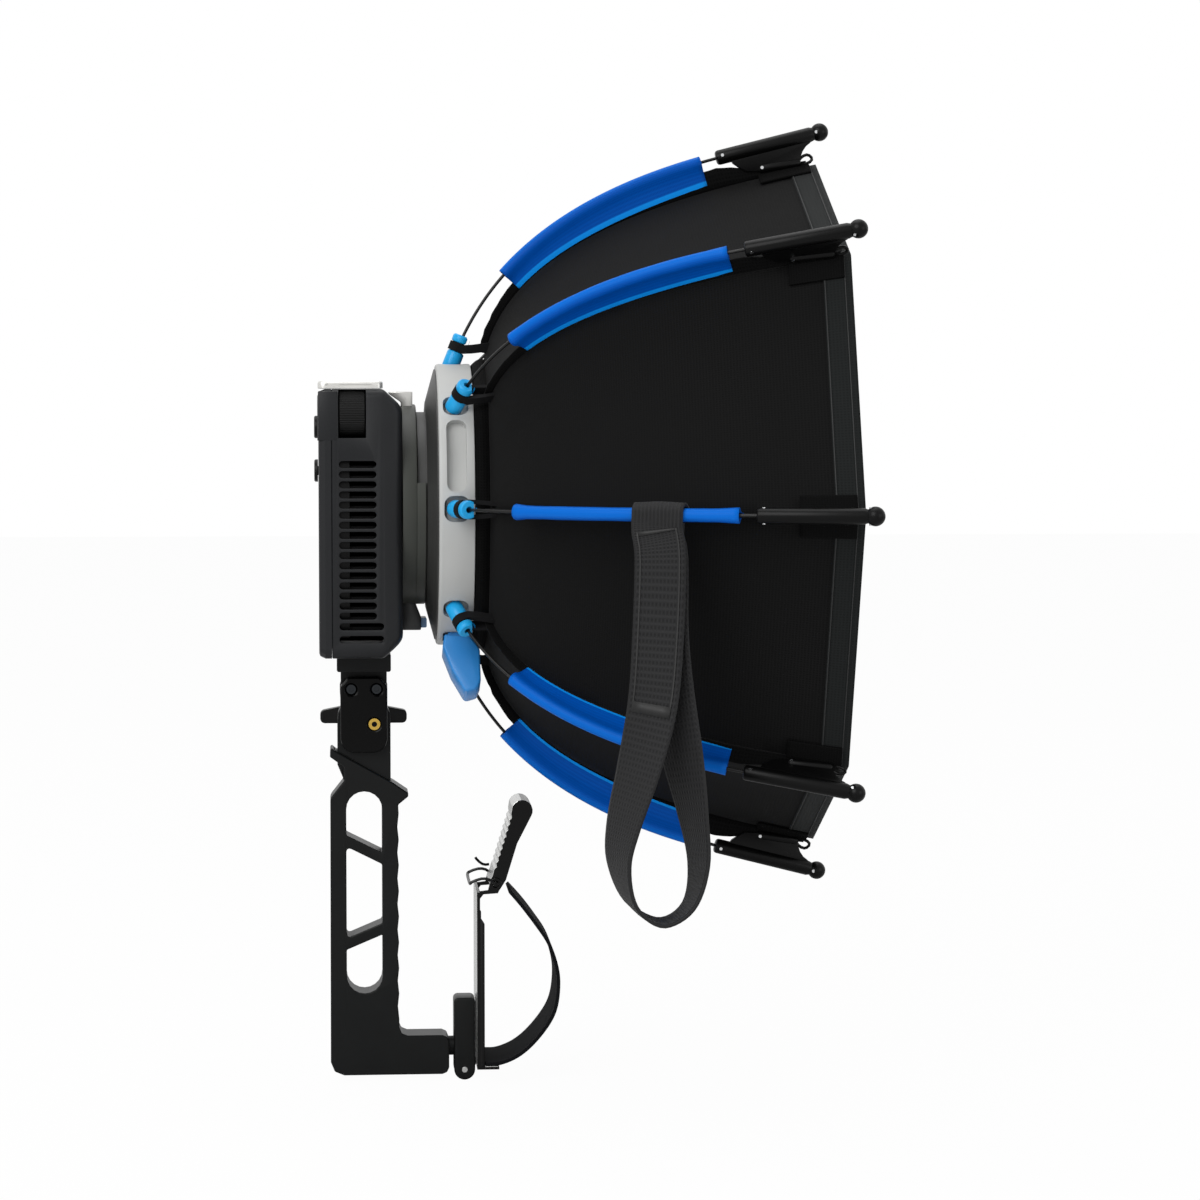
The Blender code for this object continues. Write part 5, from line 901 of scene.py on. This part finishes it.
def strap_point(across, along, lift=0.0):
    """Point on the webbing; along counts from the tucked end to the stitched end."""
    middle, side, face = strap_frames[round(along * (len(strap_frames) - 1))]
    cup = 0.0004 * math.cos(math.tau * (across - 0.5)) * noise.noise(Vector((along * 6.0, 0.0, 0.0)))
    return middle + side * (across - 0.5) * STRAP_WIDTH + face * (cup + lift)


strap_length = sum((b - a).to_3d().length for a, b in zip(strap_line, strap_line[1:]))
stations = len(strap_frames) - 1
ribbon = draped(16, stations, strap_point, (STRAP_WIDTH, strap_length))
strap = thick(piece("strap_webbing", ribbon, webbing, "softbox", ("pull_strap",), 60.0),
              STRAP_THICKNESS)
first, final = 5 * STRAP_STEPS / stations, 8.2 * STRAP_STEPS / stations
lines = [(0.10, 0.13, first, final), (0.87, 0.90, first, final)]
lines += [(0.10, 0.90, at, at + 1.0 / stations) for at in (first, final - 1.0 / stations)]
stitches = []
for left, right, start, end in lines:
    for lift in (-0.00085, 0.00085):
        stitches.append(draped(4, max(1, round((end - start) * stations)), lambda across, along: strap_point(
            left + (right - left) * across, start + (end - start) * along, lift), (0.001, 0.03)))
stitching = thick(piece("strap_stitching", joined(*stitches), strap_thread, "softbox",
                        sharp=60.0), 0.0004)

# ---------------------------------------------------------------- strap clamp
# Black anodised block and plate, rubber belt, moulded lever with a ribbed thumb face and a sprung
# wire bail; the edges and the plate's back are polished bright.
belt_rubber = finish("matt black rubber", "#0F1012", "#161719", 0.8, grain=0.0012, relief=0.00006,
                     specular_ior_level=0.05)
clamp_metal = finish("gloss black coated steel", "#060606", "#0A0A0A", 0.24, relief=0.000008,
                     specular_ior_level=0.15)
bare_steel = finish("bright plated steel", "#B9BAB8", "#CFCFCD", 0.26, 0.8, relief=0.000008)


def bright_sides(made, material, way, least):
    """Gives a second finish to the faces that look a given way."""
    made.data.materials.append(material)
    for face in made.data.polygons:
        if face.normal.dot(way) > least:
            face.material_index = 1


PIN_PLACE = Vector((0.0444, 0.0, -0.0734))
SPINDLE_PLACE = Vector((0.0302, 0.0, -0.0636))
BLOCK_HALF = 0.0070
block_outline = [(PIN_PLACE.x + 0.0047 * math.cos(a), PIN_PLACE.z + 0.0047 * math.sin(a))
                 for a in (math.radians(d) for d in range(180, 361, 15))]
for x, z, start in ((0.0471, -0.0430, 0), (0.0416, -0.0430, 90)):
    block_outline += [(x + 0.0020 * math.cos(a), z + 0.0020 * math.sin(a))
                      for a in (math.radians(start + d) for d in range(0, 91, 15))]
swivel_block = slab(block_outline, -BLOCK_HALF, BLOCK_HALF, 0.0009, 3)
fork = slab([(0.0300, -0.0884), (0.0600, -0.0884), (0.0600, -0.0682), (0.0300, -0.0682)], -0.0039, 0.0039, 0.0)
swivel_block = carved(swivel_block, fork)
spindle = lathe([(0.0, 0.0), (0.0, 0.0038), (0.0005, 0.0043), (0.0120, 0.0043), (0.0120, 0.0)], SPINDLE_PLACE,
                (1, 0, 0), 40)
piece("swivel_block", joined(swivel_block, spindle), black_anodised, "swivel",
      ("clamp_block",))
fork_pin = lathe([(0.0, 0.0), (0.0, 0.0011), (0.0002, 0.0013), (0.0146, 0.0013), (0.0148, 0.0011), (0.0148, 0.0)],
                 PIN_PLACE - Vector((0.0, 0.0074, 0.0)), (0, 1, 0), 24)
piece("fork_pin", fork_pin, bare_steel, "swivel")
plate = dressed("clamp_plate", 0.0002, clamp_metal, "clamp")
bright_sides(plate, bare_steel, Vector((-1.0, 0.0, 0.0)), 0.8)
thumb = dressed("clamp_lever", 0.0002, clamp_metal, "latch")
bright_sides(thumb, bare_steel, Vector((-0.95, 0.0, 0.31)), 0.3)
belt_bow = ((0.066, 0.0), (0.255, 0.0039), (0.473, 0.0446), (0.673, 0.1193), (0.871, 0.2333), (0.9685, 0.3355),
            (1.0, 0.4705), (0.9685, 0.5819), (0.871, 0.7064), (0.722, 0.8113), (0.550, 0.9161), (0.386, 1.003))
belt_line = smooth([Vector((0.0509 + out * 0.0349, 0.0, -0.0689 + up * 0.0763)) for out, up in belt_bow], 5)


def belt_section(share):
    """Flat rubber belt, a little narrower where it meets the lever."""
    wide = 0.0185 - 0.0035 * max(0.0, share - 0.88) / 0.12
    return [(-0.00075, -wide + 0.0003), (-0.00045, -wide), (0.00045, -wide), (0.00075, -wide + 0.0003),
            (0.00075, wide - 0.0003), (0.00045, wide), (-0.00045, wide), (-0.00075, wide - 0.0003)]


belt = swept(belt_line, lambda share: Vector((0.0, 1.0, 0.0)), belt_section)
piece("rubber_belt", belt, belt_rubber, "clamp", ("clamp_belt",))
coat(spring_steel, "wire_bail")
tail_line = [Vector((x, -0.004, z)) for x, z in ((0.0494, 0.0218), (0.0500, 0.0209), (0.0512, 0.0197),
                                                 (0.0526, 0.0187), (0.0540, 0.0184), (0.0556, 0.0186))]
tail = swept(tail_line, lambda share: Vector((0.0, 1.0, 0.0)), lambda share: ring_of(10, 0.0006))
piece("spring_tail", tail, gloss_black, "latch")
foot_end = slab([(0.0512, -0.0706), (0.0588, -0.0706), (0.0588, -0.0698), (0.0512, -0.0698)],
                -0.0186, -0.0150, 0.0002)
piece("anchor_lip", foot_end, bare_steel, "clamp")
